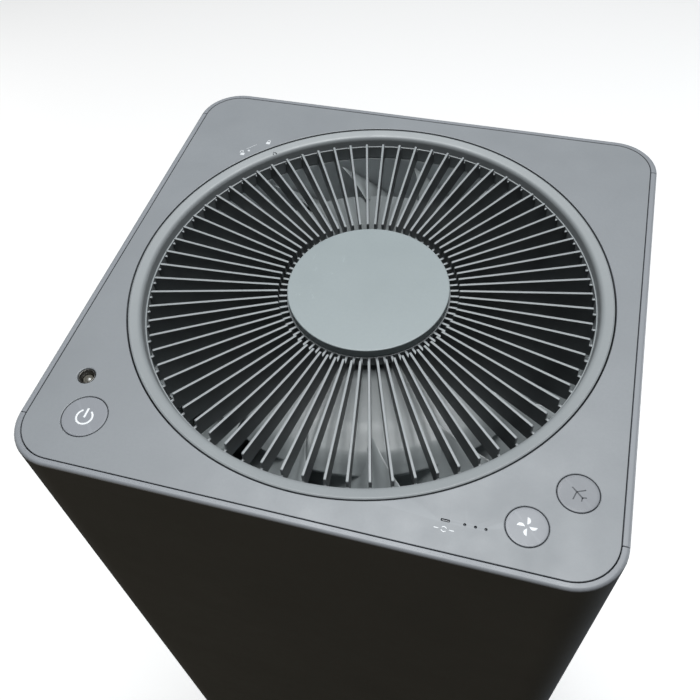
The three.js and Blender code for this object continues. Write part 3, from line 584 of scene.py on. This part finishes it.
def wall_section(zone_low, zone_high):
    """(depth, height) pairs round the wall, and the places in it of the outer and inner field."""
    turns = [math.pi / 2 * i / 5 for i in range(6)]
    foot = [(EDGE_FILLET * (1 - math.sin(t)), BOTTOM + EDGE_FILLET * (1 - math.cos(t))) for t in turns]
    head = [(depth, TOP + BOTTOM - z) for depth, z in reversed(foot)]
    inner = [(WALL - SEAM_CHAMFER, TOP), (WALL, TOP - SEAM_CHAMFER), (WALL, zone_high), (WALL, zone_low),
             (WALL, BOTTOM)]
    outer = [(0, zone_low), (0, zone_high)]
    section = foot + outer + head + inner
    return section, len(foot), len(foot) + len(outer) + len(head) + 2


def wall(stations, span, axis, holes):
    """A housing wall swept through stations; the flat span between two of them carries the holes."""
    section, outer_row, inner_row = wall_section(BOTTOM + 5, TOP - 10)
    solid = Solid()
    columns = []
    for point, inward, shrink in stations:
        ring, flats = [], []
        for depth, z in section:
            into = min(max(depth, shrink), WALL - shrink)
            level = min(max(z, BOTTOM + shrink), TOP - shrink)
            ring.append((point[0] + inward[0] * into, point[1] + inward[1] * into, level))
            flats.append((point[axis], level))
        indices = solid.ring(ring)
        solid.flat.update(zip(indices, flats))
        columns.append(indices)
    for number, (a, b) in enumerate(zip(columns, columns[1:])):
        for k in range(len(section)):
            j = (k + 1) % len(section)
            if number != span or k not in (outer_row, inner_row):
                solid.faces.append((a[k], a[j], b[j], b[k]))
    solid.cap(columns[0])
    solid.cap(columns[-1])

    start, inward, _ = stations[span]
    rims = []
    for outline, edge in holes:
        rings = []
        flat = edge + FLAT_MARGIN
        for grow, depth in [(flat, 0), *edge_profile(0, WALL, edge), (flat, WALL)]:
            points = outline(grow)
            ring = []
            for along, z in points:
                x = along if axis == 0 else start[0]
                y = along if axis == 1 else start[1]
                ring.append((x + inward[0] * depth, y + inward[1] * depth, z))
            indices = solid.ring(ring)
            solid.flat.update(zip(indices, points))
            rings.append(indices)
        solid.bands(rings)
        rims.append(rings)
    a, b = columns[span], columns[span + 1]
    for row, side in ((outer_row, 0), (inner_row, -1)):
        frame_loop = [a[row], a[row + 1], b[row + 1], b[row]]
        corners = [solid.flat[i] for i in frame_loop]
        mid_u, mid_v = (sum(c[k] for c in corners) / 4 for k in (0, 1))
        flats = [(u + math.copysign(FRAME_MARGIN, mid_u - u), v + math.copysign(FRAME_MARGIN, mid_v - v))
                 for u, v in corners]
        depth = 0 if side == 0 else WALL
        ring = []
        for along, z in flats:
            x = along if axis == 0 else start[0]
            y = along if axis == 1 else start[1]
            ring.append((x + inward[0] * depth, y + inward[1] * depth, z))
        inner_loop = solid.ring(ring)
        solid.flat.update(zip(inner_loop, flats))
        solid.band(frame_loop, inner_loop)
        solid.fill([inner_loop] + [rings[side] for rings in rims])
    return solid


def corner_stations(facing, start_angle, end_angle, centre_x, steps=12):
    """Stations round one outer corner; facing is -1 for the front and 1 for the rear."""
    centre = (centre_x, facing * (HALF_DEPTH - CORNER_RADIUS))
    made = []
    for i in range(steps + 1):
        t = math.radians(start_angle + (end_angle - start_angle) * i / steps)
        out = (math.cos(t), facing * math.sin(t))
        point = (centre[0] + CORNER_RADIUS * out[0], centre[1] + CORNER_RADIUS * out[1])
        made.append((point, (-out[0], -out[1]), 0.0))
    return made


def wrapped_cover(facing, holes):
    """A cover that wraps both corners of the front or the rear, up to its side seams."""
    reach = HALF_WIDTH - CORNER_RADIUS
    tip = math.degrees(math.asin((SEAM - (HALF_DEPTH - CORNER_RADIUS)) / CORNER_RADIUS))
    tuck = math.degrees(SEAM_CHAMFER / CORNER_RADIUS)
    left = corner_stations(facing, 180 - tip - tuck, 90, -reach)
    right = corner_stations(facing, 90, tip + tuck, reach)
    first = corner_stations(facing, 180 - tip, 180 - tip, -reach, 1)[0]
    last = corner_stations(facing, tip, tip, reach, 1)[0]
    stations = [(*first[:2], SEAM_CHAMFER), *left, *right, (*last[:2], SEAM_CHAMFER)]
    return wall(stations, len(left), 0, holes)


def side_wall(sign, holes):
    reach = box("left_side_panel")[1].y
    inward = (-sign, 0)
    stations = [((sign * HALF_WIDTH, -reach), inward, SEAM_CHAMFER),
                ((sign * HALF_WIDTH, -reach + SEAM_CHAMFER), inward, 0.0),
                ((sign * HALF_WIDTH, reach - SEAM_CHAMFER), inward, 0.0),
                ((sign * HALF_WIDTH, reach), inward, SEAM_CHAMFER)]
    return wall(stations, 1, 1, holes)


def opening_round(node, radius, axes):
    """The opening that a CAD node sits in, with the usual gap round it."""
    low, high = box(node)
    a, b = axes
    return rounded((high[a] - low[a]) / 2 + GAP, (high[b] - low[b]) / 2 + GAP, radius, 5,
                   (high[a] + low[a]) / 2, (high[b] + low[b]) / 2)


def make_housing():
    door = (opening_round("filter_door", 1.2, (0, 2)), COVER_HOLE_EDGE)
    inlet = (opening_round("power_inlet", 1.6, (0, 2)), COVER_HOLE_EDGE)
    vent = (opening_round("sensor_vent_cover", 2.0, (1, 2)), COVER_HOLE_EDGE)
    for name, shell, node in (("front_cover_shell", wrapped_cover(-1, slot_field()), "front_cover"),
                              ("rear_cover_shell", wrapped_cover(1, [door, inlet]), "rear_cover"),
                              ("left_panel_shell", side_wall(-1, [*slot_field(), vent]), "left_side_panel"),
                              ("right_panel_shell", side_wall(1, slot_field()), "right_side_panel")):
        piece(name, shell, "housing", housing, [node], WALL_SHARP)


def make_vent_cover():
    low, high = box("sensor_vent_cover")
    mid = (low.z + high.z) / 2
    slits = [(rounded(12, 0.9, 0.85, 4, 0, mid + 4 * (i - 1.5)), 0.2) for i in range(4)]
    shape = rounded(high.y, (high.z - low.z) / 2, 1.8, 5, 0, mid)
    cover = slab(shape, -high.x, -low.x, 0.4, on_left, slits)
    piece("vent_cover_grid", cover, "housing", dark_plastic, ["sensor_vent_cover"])


def make_top_panel():
    low, high = box("top_panel")
    power, fan, turbo = (middle(n) for n in ("power_button", "fan_speed_button", "turbo_button"))
    sensor = middle("light_sensor_bezel")
    guide_low, guide_high = box("indicator_light_guide")
    lights_y = (guide_low.y + guide_high.y) / 2
    holes = [(circle(PANEL_HOLE, 288), 0.3),
             (circle(POWER_RADIUS + GAP, 72, power.x, power.y), 0.35),
             (circle(SMALL_BUTTON_RADIUS + GAP, 64, fan.x, fan.y), 0.35),
             (circle(SMALL_BUTTON_RADIUS + GAP, 64, turbo.x, turbo.y), 0.35),
             (circle(3.95, 48, sensor.x, sensor.y), 0.6),
             (rounded(1.7, 0.5, 0.3, 5, guide_low.x + LIGHT_BAR_INSET, lights_y), 0.08)]
    holes += [(circle(0.55, 20, guide_high.x - inset, lights_y), 0.08) for inset in LIGHT_DOT_INSETS]
    corner = CORNER_RADIUS - WALL - GAP
    shape = rounded(high.x - 0.12, high.y - 0.12, corner, 24)
    panel = slab(shape, low.z, high.z, 0.22, flat_on_top, holes, margin=FLAT_MARGIN)
    piece("top_panel_plate", panel, "housing", panel_plastic, ["top_panel"], PLATE_SHARP)


# ---------------------------------------------------------------- outlet grille
def make_ring():
    t = TOP
    edge = RING_OUTER - 0.15
    profile = [(edge, t - 4, 0.2), (edge, t - 0.4, 0.15), (edge - 0.7, t - 0.1, 0.2),
               (edge - 4.8, t - 0.95, 1.2), (edge - 5.8, t - 2.2, 0.8), (edge - 6.5, t - 6.1, 0.15),
               (THROAT + 0.4, t - 6.25, 0.2), (THROAT + 0.3, t - FIN_BOTTOM, 0.3),
               (GRILLE_SKIRT, t - FIN_BOTTOM, 0.2), (GRILLE_SKIRT, t - 4.4, 0.2)]
    ring = turned(soften(profile, 0.3, 4, True), 288, closed=True)
    piece("grille_ring", ring, "grille", grille_plastic, ["outlet_grille"],
          TURNED_SHARP)


def fin():
    """One upright fin along +X: a stepped outline with its edges rounded over."""
    inner, outer = HUB_RADIUS + 3.9, RING_OUTER - 8.7
    outline = soften([(HUB_RADIUS - 1.2, TOP - FIN_BOTTOM, 0), (THROAT + 2, TOP - FIN_BOTTOM, 0),
                      (THROAT + 2, TOP - 6.9, 0), (outer, TOP - 6.9, 0.3), (outer, TOP - 2.8, 0.7),
                      (inner, TOP - 4.5, 0.7), (inner, TOP - 8.4, 0.3), (HUB_RADIUS - 1.2, TOP - 8.4, 0)],
                     0.3, 3, True)
    shape = polygon(outline)
    solid = Solid()
    half = FIN_THICKNESS / 2
    rings = [solid.loop(shape(-inset), w, lambda u, v, w: (u, w, v))
             for inset, w in edge_profile(-half, half, 0.22, 2)]
    solid.bands(rings)
    solid.cap(rings[0])
    solid.cap(rings[-1])
    return solid


def make_fins():
    fins = Solid()
    one = fin()
    for i in range(FIN_COUNT):
        fins.add(one, Matrix.Rotation(i * 2 * math.pi / FIN_COUNT, 3, "Z"))
    piece("grille_fins", fins, "grille", fin_plastic)
    t = TOP
    hub = soften([(0, t - 10.6, 0), (HUB_RADIUS - 2.4, t - 10.6), (HUB_RADIUS - 2.4, t - FIN_BOTTOM - 0.4),
                  (HUB_RADIUS, t - FIN_BOTTOM - 0.4), (HUB_RADIUS, t - 8.2), (0, t - 8.2, 0)], 0.25)
    piece("grille_hub", turned(hub, 144), "grille", grille_plastic)


def make_cap():
    t = TOP - CAP_DEPTH
    rim = [(0, t), (CAP_RADIUS * 0.35, t), (CAP_RADIUS * 0.7, t), (CAP_RADIUS - 2, t)]
    edge = soften([(CAP_RADIUS - 2, t, 0), (CAP_RADIUS, t, 0.55), (CAP_RADIUS, TOP - 7.9, 0.2),
                   (0, TOP - 7.9, 0)], 0.3, 5)
    disc = turned(rim + edge[1:], 192)
    piece("grille_cap_disc", disc, "grille", cap_plastic, ["grille_cap"])


# ---------------------------------------------------------------- fan
DUCT_RADIUS = THROAT + 0.2
INLET_RADIUS = DUCT_RADIUS - 24
HUB_TOP = TOP - 16.6
RIM_RADIUS = DUCT_RADIUS - 16.8
RIM_Z = TOP - 27
HUB_FOOT = 50.3
FAN_BOTTOM = box("fan_rotor")[0].z
THROAT_TOP = FAN_BOTTOM + 4
CONE_TOP = TOP - 45
SHOULDER_TOP = TOP - 17


def blade_root(z):
    if z > RIM_Z:
        return RIM_RADIUS * (0.85 + 0.13 * (SHOULDER_TOP - z) / (SHOULDER_TOP - RIM_Z))
    return HUB_FOOT + (z - FAN_BOTTOM) * (RIM_RADIUS - HUB_FOOT) / (RIM_Z - FAN_BOTTOM) - 1.3


def blade_tip(z):
    share = min(1.0, max(0.0, (z - THROAT_TOP) / (CONE_TOP - THROAT_TOP)))
    return INLET_RADIUS + (DUCT_RADIUS - INLET_RADIUS) * share - 1.6


def fan_blade(turn, rows=18, columns=8):
    """A twisted blade: each row is a closed section, thick in the middle and thin at the tip."""
    bottom = FAN_BOTTOM + 3
    solid = Solid()
    rings = []
    for row in range(rows + 1):
        share = row / rows
        z = bottom + (SHOULDER_TOP - bottom) * (1 - (1 - share) ** 1.15)
        section = []
        for side in (-1, 1):
            order = range(columns + 1) if side < 0 else range(columns, -1, -1)
            for column in order:
                part = column / columns
                radius = blade_root(z) + (blade_tip(z) - blade_root(z)) * part
                wrap = -0.95 * (1 - share) ** 1.1 + 0.0045 * (radius - RIM_RADIUS)
                thick = BLADE_THICKNESS * (1 - 0.45 * part) * (0.75 + 0.5 * (1 - share))
                angle = turn + wrap + side * thick / 2 / radius
                section.append((radius * math.cos(angle), radius * math.sin(angle), z))
        rings.append(solid.ring(section))
    solid.bands(rings)
    solid.cap(rings[0])
    solid.cap(rings[-1])
    return solid


def make_fan():
    dome = [(0, HUB_TOP), (RIM_RADIUS * 0.3, HUB_TOP - 0.1), (RIM_RADIUS * 0.55, HUB_TOP - 0.45),
            (RIM_RADIUS * 0.78, HUB_TOP - 1.1, 3), (RIM_RADIUS * 0.94, HUB_TOP - 4.6, 4),
            (RIM_RADIUS, RIM_Z, 0.8), (HUB_FOOT, FAN_BOTTOM, 0.5), (HUB_FOOT - 2.6, FAN_BOTTOM, 0.5),
            (RIM_RADIUS - 4, RIM_Z - 1.5, 1), (RIM_RADIUS * 0.8, HUB_TOP - 5.2, 1), (9, HUB_TOP - 4.4, 1),
            (9, TOP - 54, 0.5), (4.2, TOP - 54, 0.2), (4.2, HUB_TOP - 6, 0.2), (0, HUB_TOP - 6)]
    piece("fan_hub", turned(soften(dome, 1.5, 5), 160), "fan", fan_plastic, ["fan_rotor"],
          TURNED_SHARP)
    blades = Solid()
    for i in range(BLADE_COUNT):
        blades.add(fan_blade(FIRST_BLADE + i * 2 * math.pi / BLADE_COUNT))
    piece("fan_blades", blades, "fan", fan_plastic, (), TURNED_SHARP)


def make_fan_duct():
    wall_outer = DUCT_RADIUS + 2.7
    foot = box("fan_duct")[0].z
    seat = TOP - FIN_BOTTOM - 0.6
    back = GRILLE_SKIRT + 0.6
    profile = [(INLET_RADIUS, foot), (INLET_RADIUS + 12, foot), (INLET_RADIUS + 12, foot + 3),
               (INLET_RADIUS + 2.7, foot + 3, 1.5), (INLET_RADIUS + 2.7, THROAT_TOP, 6),
               (wall_outer, CONE_TOP, 6), (wall_outer, seat - 4), (RING_OUTER - 0.2, seat - 1),
               (RING_OUTER - 0.2, TOP - 4.3),
               (back, TOP - 4.3), (back, seat), (DUCT_RADIUS, seat), (DUCT_RADIUS, CONE_TOP, 6),
               (INLET_RADIUS, THROAT_TOP, 6)]
    duct = turned(soften(profile, 0.4, 4, True), 192, closed=True)
    piece("fan_duct_shell", duct, "housing", duct_plastic, ["fan_duct"], TURNED_SHARP)


# ---------------------------------------------------------------- buttons and their marks
def make_button(node, body, name, radius, material=button_plastic):
    low = box(node)[0]
    at = middle(node)
    flange = radius + 1.1
    flange_top, flange_foot = TOP - 2.9, TOP - 4.2
    profile = [(0, TOP), (radius * 0.5, TOP), (radius - 1.5, TOP), (radius, TOP, 0.45),
               (radius, flange_top, 0.1), (flange, flange_top, 0.2), (flange, flange_foot, 0.2),
               (2, flange_foot, 0.2), (2, low.z, 0.2), (0, low.z)]
    button = turned(soften(profile, 0.2, 4), 96, at=(at.x, at.y))
    piece(name, button, body, material, [node], PLATE_SHARP)
    return at


def mark(name, outlines, body, material, level=TOP, depth=0.05):
    """A printed mark: thin raised ink, one plate for each outline."""
    solid = Solid()
    for outline in outlines:
        solid.add(slab(outline, level - depth, level + INK, 0.02, flat_on_top, (), 1))
    piece(name, solid, body, material)


def power_mark(at):
    u, v = at.x + 0.1, at.y - 0.3
    ring = ribbon(arc(3.45, 122, 418, 48, u, v), 0.85)
    bar = rounded(0.45, 2.35, 0.2, 3, u, v + 2.05)
    mark("power_mark", [ring, bar], "power_button", white_ink)


def fan_mark(at):
    """Four blades of a pinwheel, each straight on one side and bowed on the other."""
    blades = []
    corners = [(0.75, 0.12, 0.1), (3.85, 0.5, 0.2), (3.35, -0.85, 0.7), (1.75, -1.05, 0.6)]
    blade = soften(corners, 0.2, 5, True)
    for quarter in range(4):
        turn = math.radians(87 + 90 * quarter)
        blades.append(polygon([(at.x + along * math.cos(turn) - across * math.sin(turn),
                                at.y + along * math.sin(turn) + across * math.cos(turn))
                               for along, across in reversed(blade)]))
    mark("fan_mark", blades, "fan_speed_button", white_ink)


def plane_mark(at):
    """A line drawing of an aeroplane, nose to the upper left."""
    nose, tail = Vector((-2.6, 2.2)), Vector((1.9, -1.9))
    along = (tail - nose).normalized()
    across = Vector((-along.y, along.x))
    length = (tail - nose).length

    def spot(share, side):
        point = Vector((at.x, at.y)) + nose + along * length * share + across * side
        return (point.x, point.y)

    strokes = [ribbon([spot(0, 0), spot(1, 0)], 0.6)]
    for side in (-1, 1):
        strokes += [ribbon([spot(0.42, 0), spot(0.66, 3.3 * side)], 0.5),
                    ribbon([spot(0.92, 0), spot(1.08, 1.3 * side)], 0.42)]
    mark("plane_mark", strokes, "turbo_button", dark_ink)


def padlock(u, v, lift, shift):
    body = rounded(1.1, 0.95, 0.25, 3, u, v - 0.9)
    bow = ribbon([(u - 0.7 + shift, v - 0.1), (u - 0.7 + shift, v + 0.6 + lift),
                  *arc(0.7, 180, 0, 10, u + shift, v + 0.6 + lift), (u + 0.7 + shift, v - 0.1 + lift)], 0.46)
    return [body, bow]


def make_marks():
    """The buttons with their marks, and the marks on the panel and the ring, placed in (x, y)."""
    power_mark(make_button("power_button", "power_button", "power_key", POWER_RADIUS))
    fan_mark(make_button("fan_speed_button", "fan_speed_button", "fan_speed_key", SMALL_BUTTON_RADIUS))
    plane_mark(make_button("turbo_button", "turbo_button", "turbo_key", SMALL_BUTTON_RADIUS, turbo_plastic))
    closed = padlock(-78.7, 86.7, 0.0, 0.0)
    opened = padlock(-89.5, 75.2, 0.5, -1.0)
    way = ribbon(arc(118.6, 135.4, 138.4, 10), 0.24)
    tip = polygon([(-87.3, 78.6), (-86.0, 77.2), (-87.7, 76.9)][::-1])
    mark("lock_marks", [*closed, *opened, way, tip], "housing", pale_ink)
    chevron = ribbon([(-73.2, 78.1), (-73.8, 80.0), (-71.7, 79.3)], 0.42)
    mark("twist_mark", [chevron], "grille", dark_ink, TOP - 0.55, 0.7)
    u, v = 58.4, -112.9
    cycle = [ribbon(arc(1.0, start, start + 125, 12, u, v), 0.36) for start in (20, 200)]
    dashes = [rounded(0.95, 0.18, 0.15, 3, u + side * 2.9, v) for side in (-1, 1)]
    mark("mode_mark", [*cycle, *dashes], "housing", white_ink)


def make_indicators():
    low, high = box("indicator_light_guide")
    mid = (low.y + high.y) / 2
    solid = slab(rounded((high.x - low.x) / 2, 2, 0.6, 4, (high.x + low.x) / 2, mid), low.z, TOP - 2.8, 0.2)
    solid.add(slab(rounded(1.4, 0.25, 0.2, 5, low.x + LIGHT_BAR_INSET, mid), TOP - 3.0, TOP - 0.1, 0.08))
    for inset in LIGHT_DOT_INSETS:
        dot = [(0, TOP - 0.5), (0.3, TOP - 0.55), (0.4, TOP - 0.7), (0.4, TOP - 3.0), (0, TOP - 3.0)]
        solid.add(turned(dot, 24, at=(high.x - inset, mid)))
    piece("light_guide_bar", solid, "housing", guide_plastic, ["indicator_light_guide"])


def make_sensor():
    at = middle("light_sensor_bezel")
    funnel = [(3.6, TOP - 0.5, 0.15), (3.35, TOP - 0.5, 0.2), (2.6, TOP - 2.6, 0.3), (2.6, TOP - 4.0),
              (4.9, TOP - 4.0), (4.9, TOP - 2.8), (3.6, TOP - 2.8)]
    bezel = turned(soften(funnel, 0.15, 4, True), 64, closed=True, at=(at.x, at.y))
    piece("sensor_bezel_ring", bezel, "housing", bezel_metal, ["light_sensor_bezel"])
    foot = box("light_sensor_lens")[0].z
    turns = [math.pi / 2 * i / 8 for i in range(9)]
    dome = [(2.4 * math.sin(t), TOP - 2.9 + 1.2 * math.cos(t)) for t in turns]
    lens = turned([*dome, (2.4, foot), (0, foot)], 48, at=(at.x, at.y))
    piece("sensor_lens_dome", lens, "housing", lens_plastic, ["light_sensor_lens"])


# ---------------------------------------------------------------- door, filter, inlet
def make_door():
    low, high = box("door_latch")
    cup_half = 12
    cup_mid = door_high.z + GAP - 9 - cup_half
    cup = rounded(22, cup_half, 3, 6, 0, cup_mid)
    shape = rounded(door_high.x, (door_high.z - door_low.z) / 2, 1.0, 4, 0, (door_high.z + door_low.z) / 2)
    plate = slab(shape, INNER, HALF_DEPTH, 0.5, on_back, [*slot_field(), (cup, 0.6)], margin=FLAT_MARGIN)
    piece("door_plate", plate, "filter_door", housing, ["filter_door"], WALL_SHARP)
    block = rounded(25, cup_half + 3, 4, 6, 0, cup_mid)
    pocket = tub(block, cup, door_low.y, door_low.y + 2, INNER + 0.02, 0.4, on_back)
    piece("door_cup", pocket, "filter_door", housing)
    latch_mid = (low.z + high.z) / 2
    pad = slab(rounded(high.x, 5, 1.4, 5, 0, latch_mid), INNER - 4, high.y - 0.5, 0.9, on_back, (), 3)
    for i in range(3):
        rib = rounded(15, 0.55, 0.5, 4, 0, latch_mid - 2.4 + 2.4 * i)
        pad.add(slab(rib, high.y - 1.2, high.y, 0.3, on_back))
    pad.add(slab(rounded(16, 1.5, 0.5, 4, 0, high.z - 1.5), low.y, INNER - 3, 0.3, on_back))
    piece("latch_pad", pad, "door_latch", button_plastic, ["door_latch"])


def make_filter():
    rim_top, rim_foot = box("filter_top_ring"), box("filter_bottom_cap")
    radius, bore = media_high.x, 68.0
    samples = PLEATS * 8
    rings = []
    solid = Solid()
    reach = radius - bore - 8.5
    for z, side in ((media_low.z, 1), (media_high.z, 1), (media_high.z, -1), (media_low.z, -1)):
        points = []
        for i in range(samples):
            phase = (i % 8) / 8
            fold = 1 - abs(2 * phase - 1)
            fold = fold * fold * (3 - 2 * fold) * 0.35 + fold * 0.65
            r = (radius if side > 0 else radius - 8) - reach * (1 - fold)
            t = 2 * math.pi * i / samples
            points.append((r * math.cos(t), r * math.sin(t), z))
        rings.append(solid.ring(points))
    solid.bands(rings, True)
    piece("filter_pleats", solid, "filter", filter_paper, ["filter_media"], PLEAT_SHARP)
    low, high = rim_top
    ring = [(bore + 2, low.z), (high.x, low.z), (high.x, high.z, 1.5), (bore - 4, high.z, 1.2),
            (bore - 4, high.z - 5), (bore + 2, high.z - 5)]
    rim = turned(soften(ring, 0.4, 4, True), 144, closed=True)
    piece("filter_top_rim", rim, "filter", rim_plastic, ["filter_top_ring"], TURNED_SHARP)
    low, high = rim_foot
    cap = [(0, low.z), (high.x, low.z, 1.5), (high.x, high.z), (bore, high.z), (bore - 3, low.z + 4),
           (0, low.z + 4)]
    foot = turned(soften(cap, 0.4, 4), 144)
    piece("filter_foot_cap", foot, "filter", rim_plastic, ["filter_bottom_cap"], TURNED_SHARP)
    low, high = box("filter_pull_tab")
    mid = (low.z + high.z) / 2
    tab = slab(rounded(high.x, (high.z - low.z) / 2, 5, 8, 0, mid), low.y, high.y - 0.4, 0.4, on_back)
    for i in range(7):
        grip = rounded(10, 0.7, 0.6, 4, 0, low.z + 8 + 3.2 * i)
        tab.add(slab(grip, high.y - 0.8, high.y, 0.25, on_back))
    piece("pull_tab", tab, "filter", tab_plastic, ["filter_pull_tab"])


def make_inlet():
    low, high = box("power_inlet")
    mid = (low + high) / 2
    lobe, waist = 3.9, 4.3  # radius of each half of the figure of eight, and its distance from the middle
    figure = []
    for side, start in ((1, -62), (-1, 118)):
        figure += arc(lobe, start, start + 124, 12, mid.x + side * waist, mid.z)
    shape = rounded((high.x - low.x) / 2, (high.z - low.z) / 2, 1.3, 5, mid.x, mid.z)
    body = tub(shape, polygon(figure), low.y, low.y + 9, high.y, 0.35, on_back)
    piece("inlet_body", body, "housing", dark_plastic, ["power_inlet"])
    pins = Solid()
    for side in (-1, 1):
        pin = [(0, low.y + 8), (1.1, low.y + 8), (1.1, high.y - 4.6), (0.6, high.y - 3.8), (0, high.y - 3.6)]
        pins.add(turned(pin, 20, on_back, at=(mid.x + side * waist, mid.z)))
    piece("inlet_pins", pins, "housing", steel)


def make_feet():
    for place in CORNERS:
        low, high = box(f"foot_{place}")
        at = (low + high) / 2
        radius = (high.x - low.x) / 2
        profile = [(0, 0.6), (radius - 4, 0.6), (radius - 3.6, 0.0, 0.2), (radius, 0.0, 1.4),
                   (radius, high.z, 0.3), (0, high.z)]
        foot = turned(soften(profile, 0.3, 5), 72, at=(at.x, at.y))
        piece(f"rubber_foot_{place}", foot, "housing", rubber, [f"foot_{place}"])


# ---------------------------------------------------------------- stage, light and camera
def make_floor():
    mesh = bpy.data.meshes.new("floor")
    reach = 6.0
    corners = [(-reach, -reach, 0), (reach, -reach, 0), (reach, reach, 0), (-reach, reach, 0)]
    mesh.from_pydata(corners, [], [(0, 1, 2, 3)])
    floor = bpy.data.objects.new("floor", mesh)
    bpy.context.scene.collection.objects.link(floor)
    material = bpy.data.materials.new("pale_floor")
    material.use_nodes = True
    tree = material.node_tree
    tree.nodes.remove(tree.nodes["Principled BSDF"])
    pale = tree.nodes.new("ShaderNodeBsdfDiffuse")
    pale.inputs["Color"].default_value = (0.8, 0.8, 0.8, 1)
    glow = tree.nodes.new("ShaderNodeEmission")
    glow.inputs["Strength"].default_value = 0.45
    seen = tree.nodes.new("ShaderNodeAddShader")
    dim = tree.nodes.new("ShaderNodeBsdfDiffuse")
    dim.inputs["Color"].default_value = (0.05, 0.048, 0.04, 1)
    link(tree, pale.outputs["BSDF"], seen.inputs[0])
    link(tree, glow.outputs["Emission"], seen.inputs[1])
    seen_by_camera(tree, dim.outputs["BSDF"], seen.outputs["Shader"], "Material Output")
    mesh.materials.append(material)


def make_world():
    world = bpy.data.worlds.new("studio")
    bpy.context.scene.world = world
    world.use_nodes = True
    tree = world.node_tree
    ground = tree.nodes["Background"]
    ground.inputs["Color"].default_value = (0.84, 0.86, 0.9, 1)
    ground.inputs["Strength"].default_value = 0.035
    white = tree.nodes.new("ShaderNodeBackground")
    white.inputs["Color"].default_value = (1, 1, 1, 1)
    seen_by_camera(tree, ground.outputs["Background"], white.outputs["Background"], "World Output")


def area(name, place, target, size, power, colour):
    light = bpy.data.lights.new(name, "AREA")
    light.shape = "RECTANGLE"
    light.size, light.size_y = size
    light.energy = power
    light.color = colour
    lamp = bpy.data.objects.new(name, light)
    bpy.context.scene.collection.objects.link(lamp)
    lamp.location = place
    lamp.rotation_euler = (Vector(target) - Vector(place)).to_track_quat("-Z", "Y").to_euler()


def make_studio():
    """Four lights, given by place, aim, size, watts and colour, and the photo's camera."""
    top = (0, 0, TOP * MM)
    area("overhead", (-0.05, 0.36, 2.5), top, (1.05, 1.05), 47, (0.965, 0.99, 1.0))
    area("right_side", (1.7, 0.9, 0.34), (0.1, 0.05, 0.3), (1.2, 0.55), 14, (0.93, 0.97, 1.0))
    area("left_side", (-1.7, 0.3, 0.3), (-0.1, 0.05, 0.3), (1.2, 0.55), 6.2, (1.0, 0.98, 0.95))
    area("front_fill", (-1.1, -2.1, 0.35), (0, -0.1, 0.4), (1.2, 0.6), 2.6, (1.0, 0.78, 0.45))
    camera = bpy.data.cameras.new("camera")
    camera.sensor_width = 36
    camera.lens = 41.08
    holder = bpy.data.objects.new("camera", camera)
    bpy.context.scene.collection.objects.link(holder)
    right, up, back = (0.9629, 0.2652, -0.0504), (-0.1822, 0.7762, 0.6037), (0.1992, -0.5721, 0.7957)
    place = (0.07182, -0.23964, 0.97666)
    rows = [[right[i], up[i], back[i], place[i]] for i in range(3)] + [[0, 0, 0, 1]]
    holder.matrix_world = Matrix(rows)
    camera.clip_start = 0.01
    bpy.context.scene.camera = holder
    bpy.context.scene.view_settings.view_transform = "Standard"


make_world()
make_floor()
make_studio()
make_housing()
make_vent_cover()
make_top_panel()
make_ring()
make_fins()
make_cap()
make_fan()
make_fan_duct()
make_marks()
make_indicators()
make_sensor()
make_door()
make_filter()
make_inlet()
make_feet()
dress(dark_plastic, "base_tray", "dust_sensor", "fan_motor", "power_switch", "fan_speed_switch",
      "turbo_switch")
dress(frame_plastic, "intake_duct", "motor_mount", "lower_deck", "filter_deck", "fan_deck", "upper_deck",
      *[f"corner_post_{place}" for place in CORNERS])
dress(steel, "fan_shaft", *[f"base_screw_{place}" for place in CORNERS])
dress(board, "power_board", "main_board", "button_board", "mode_board")
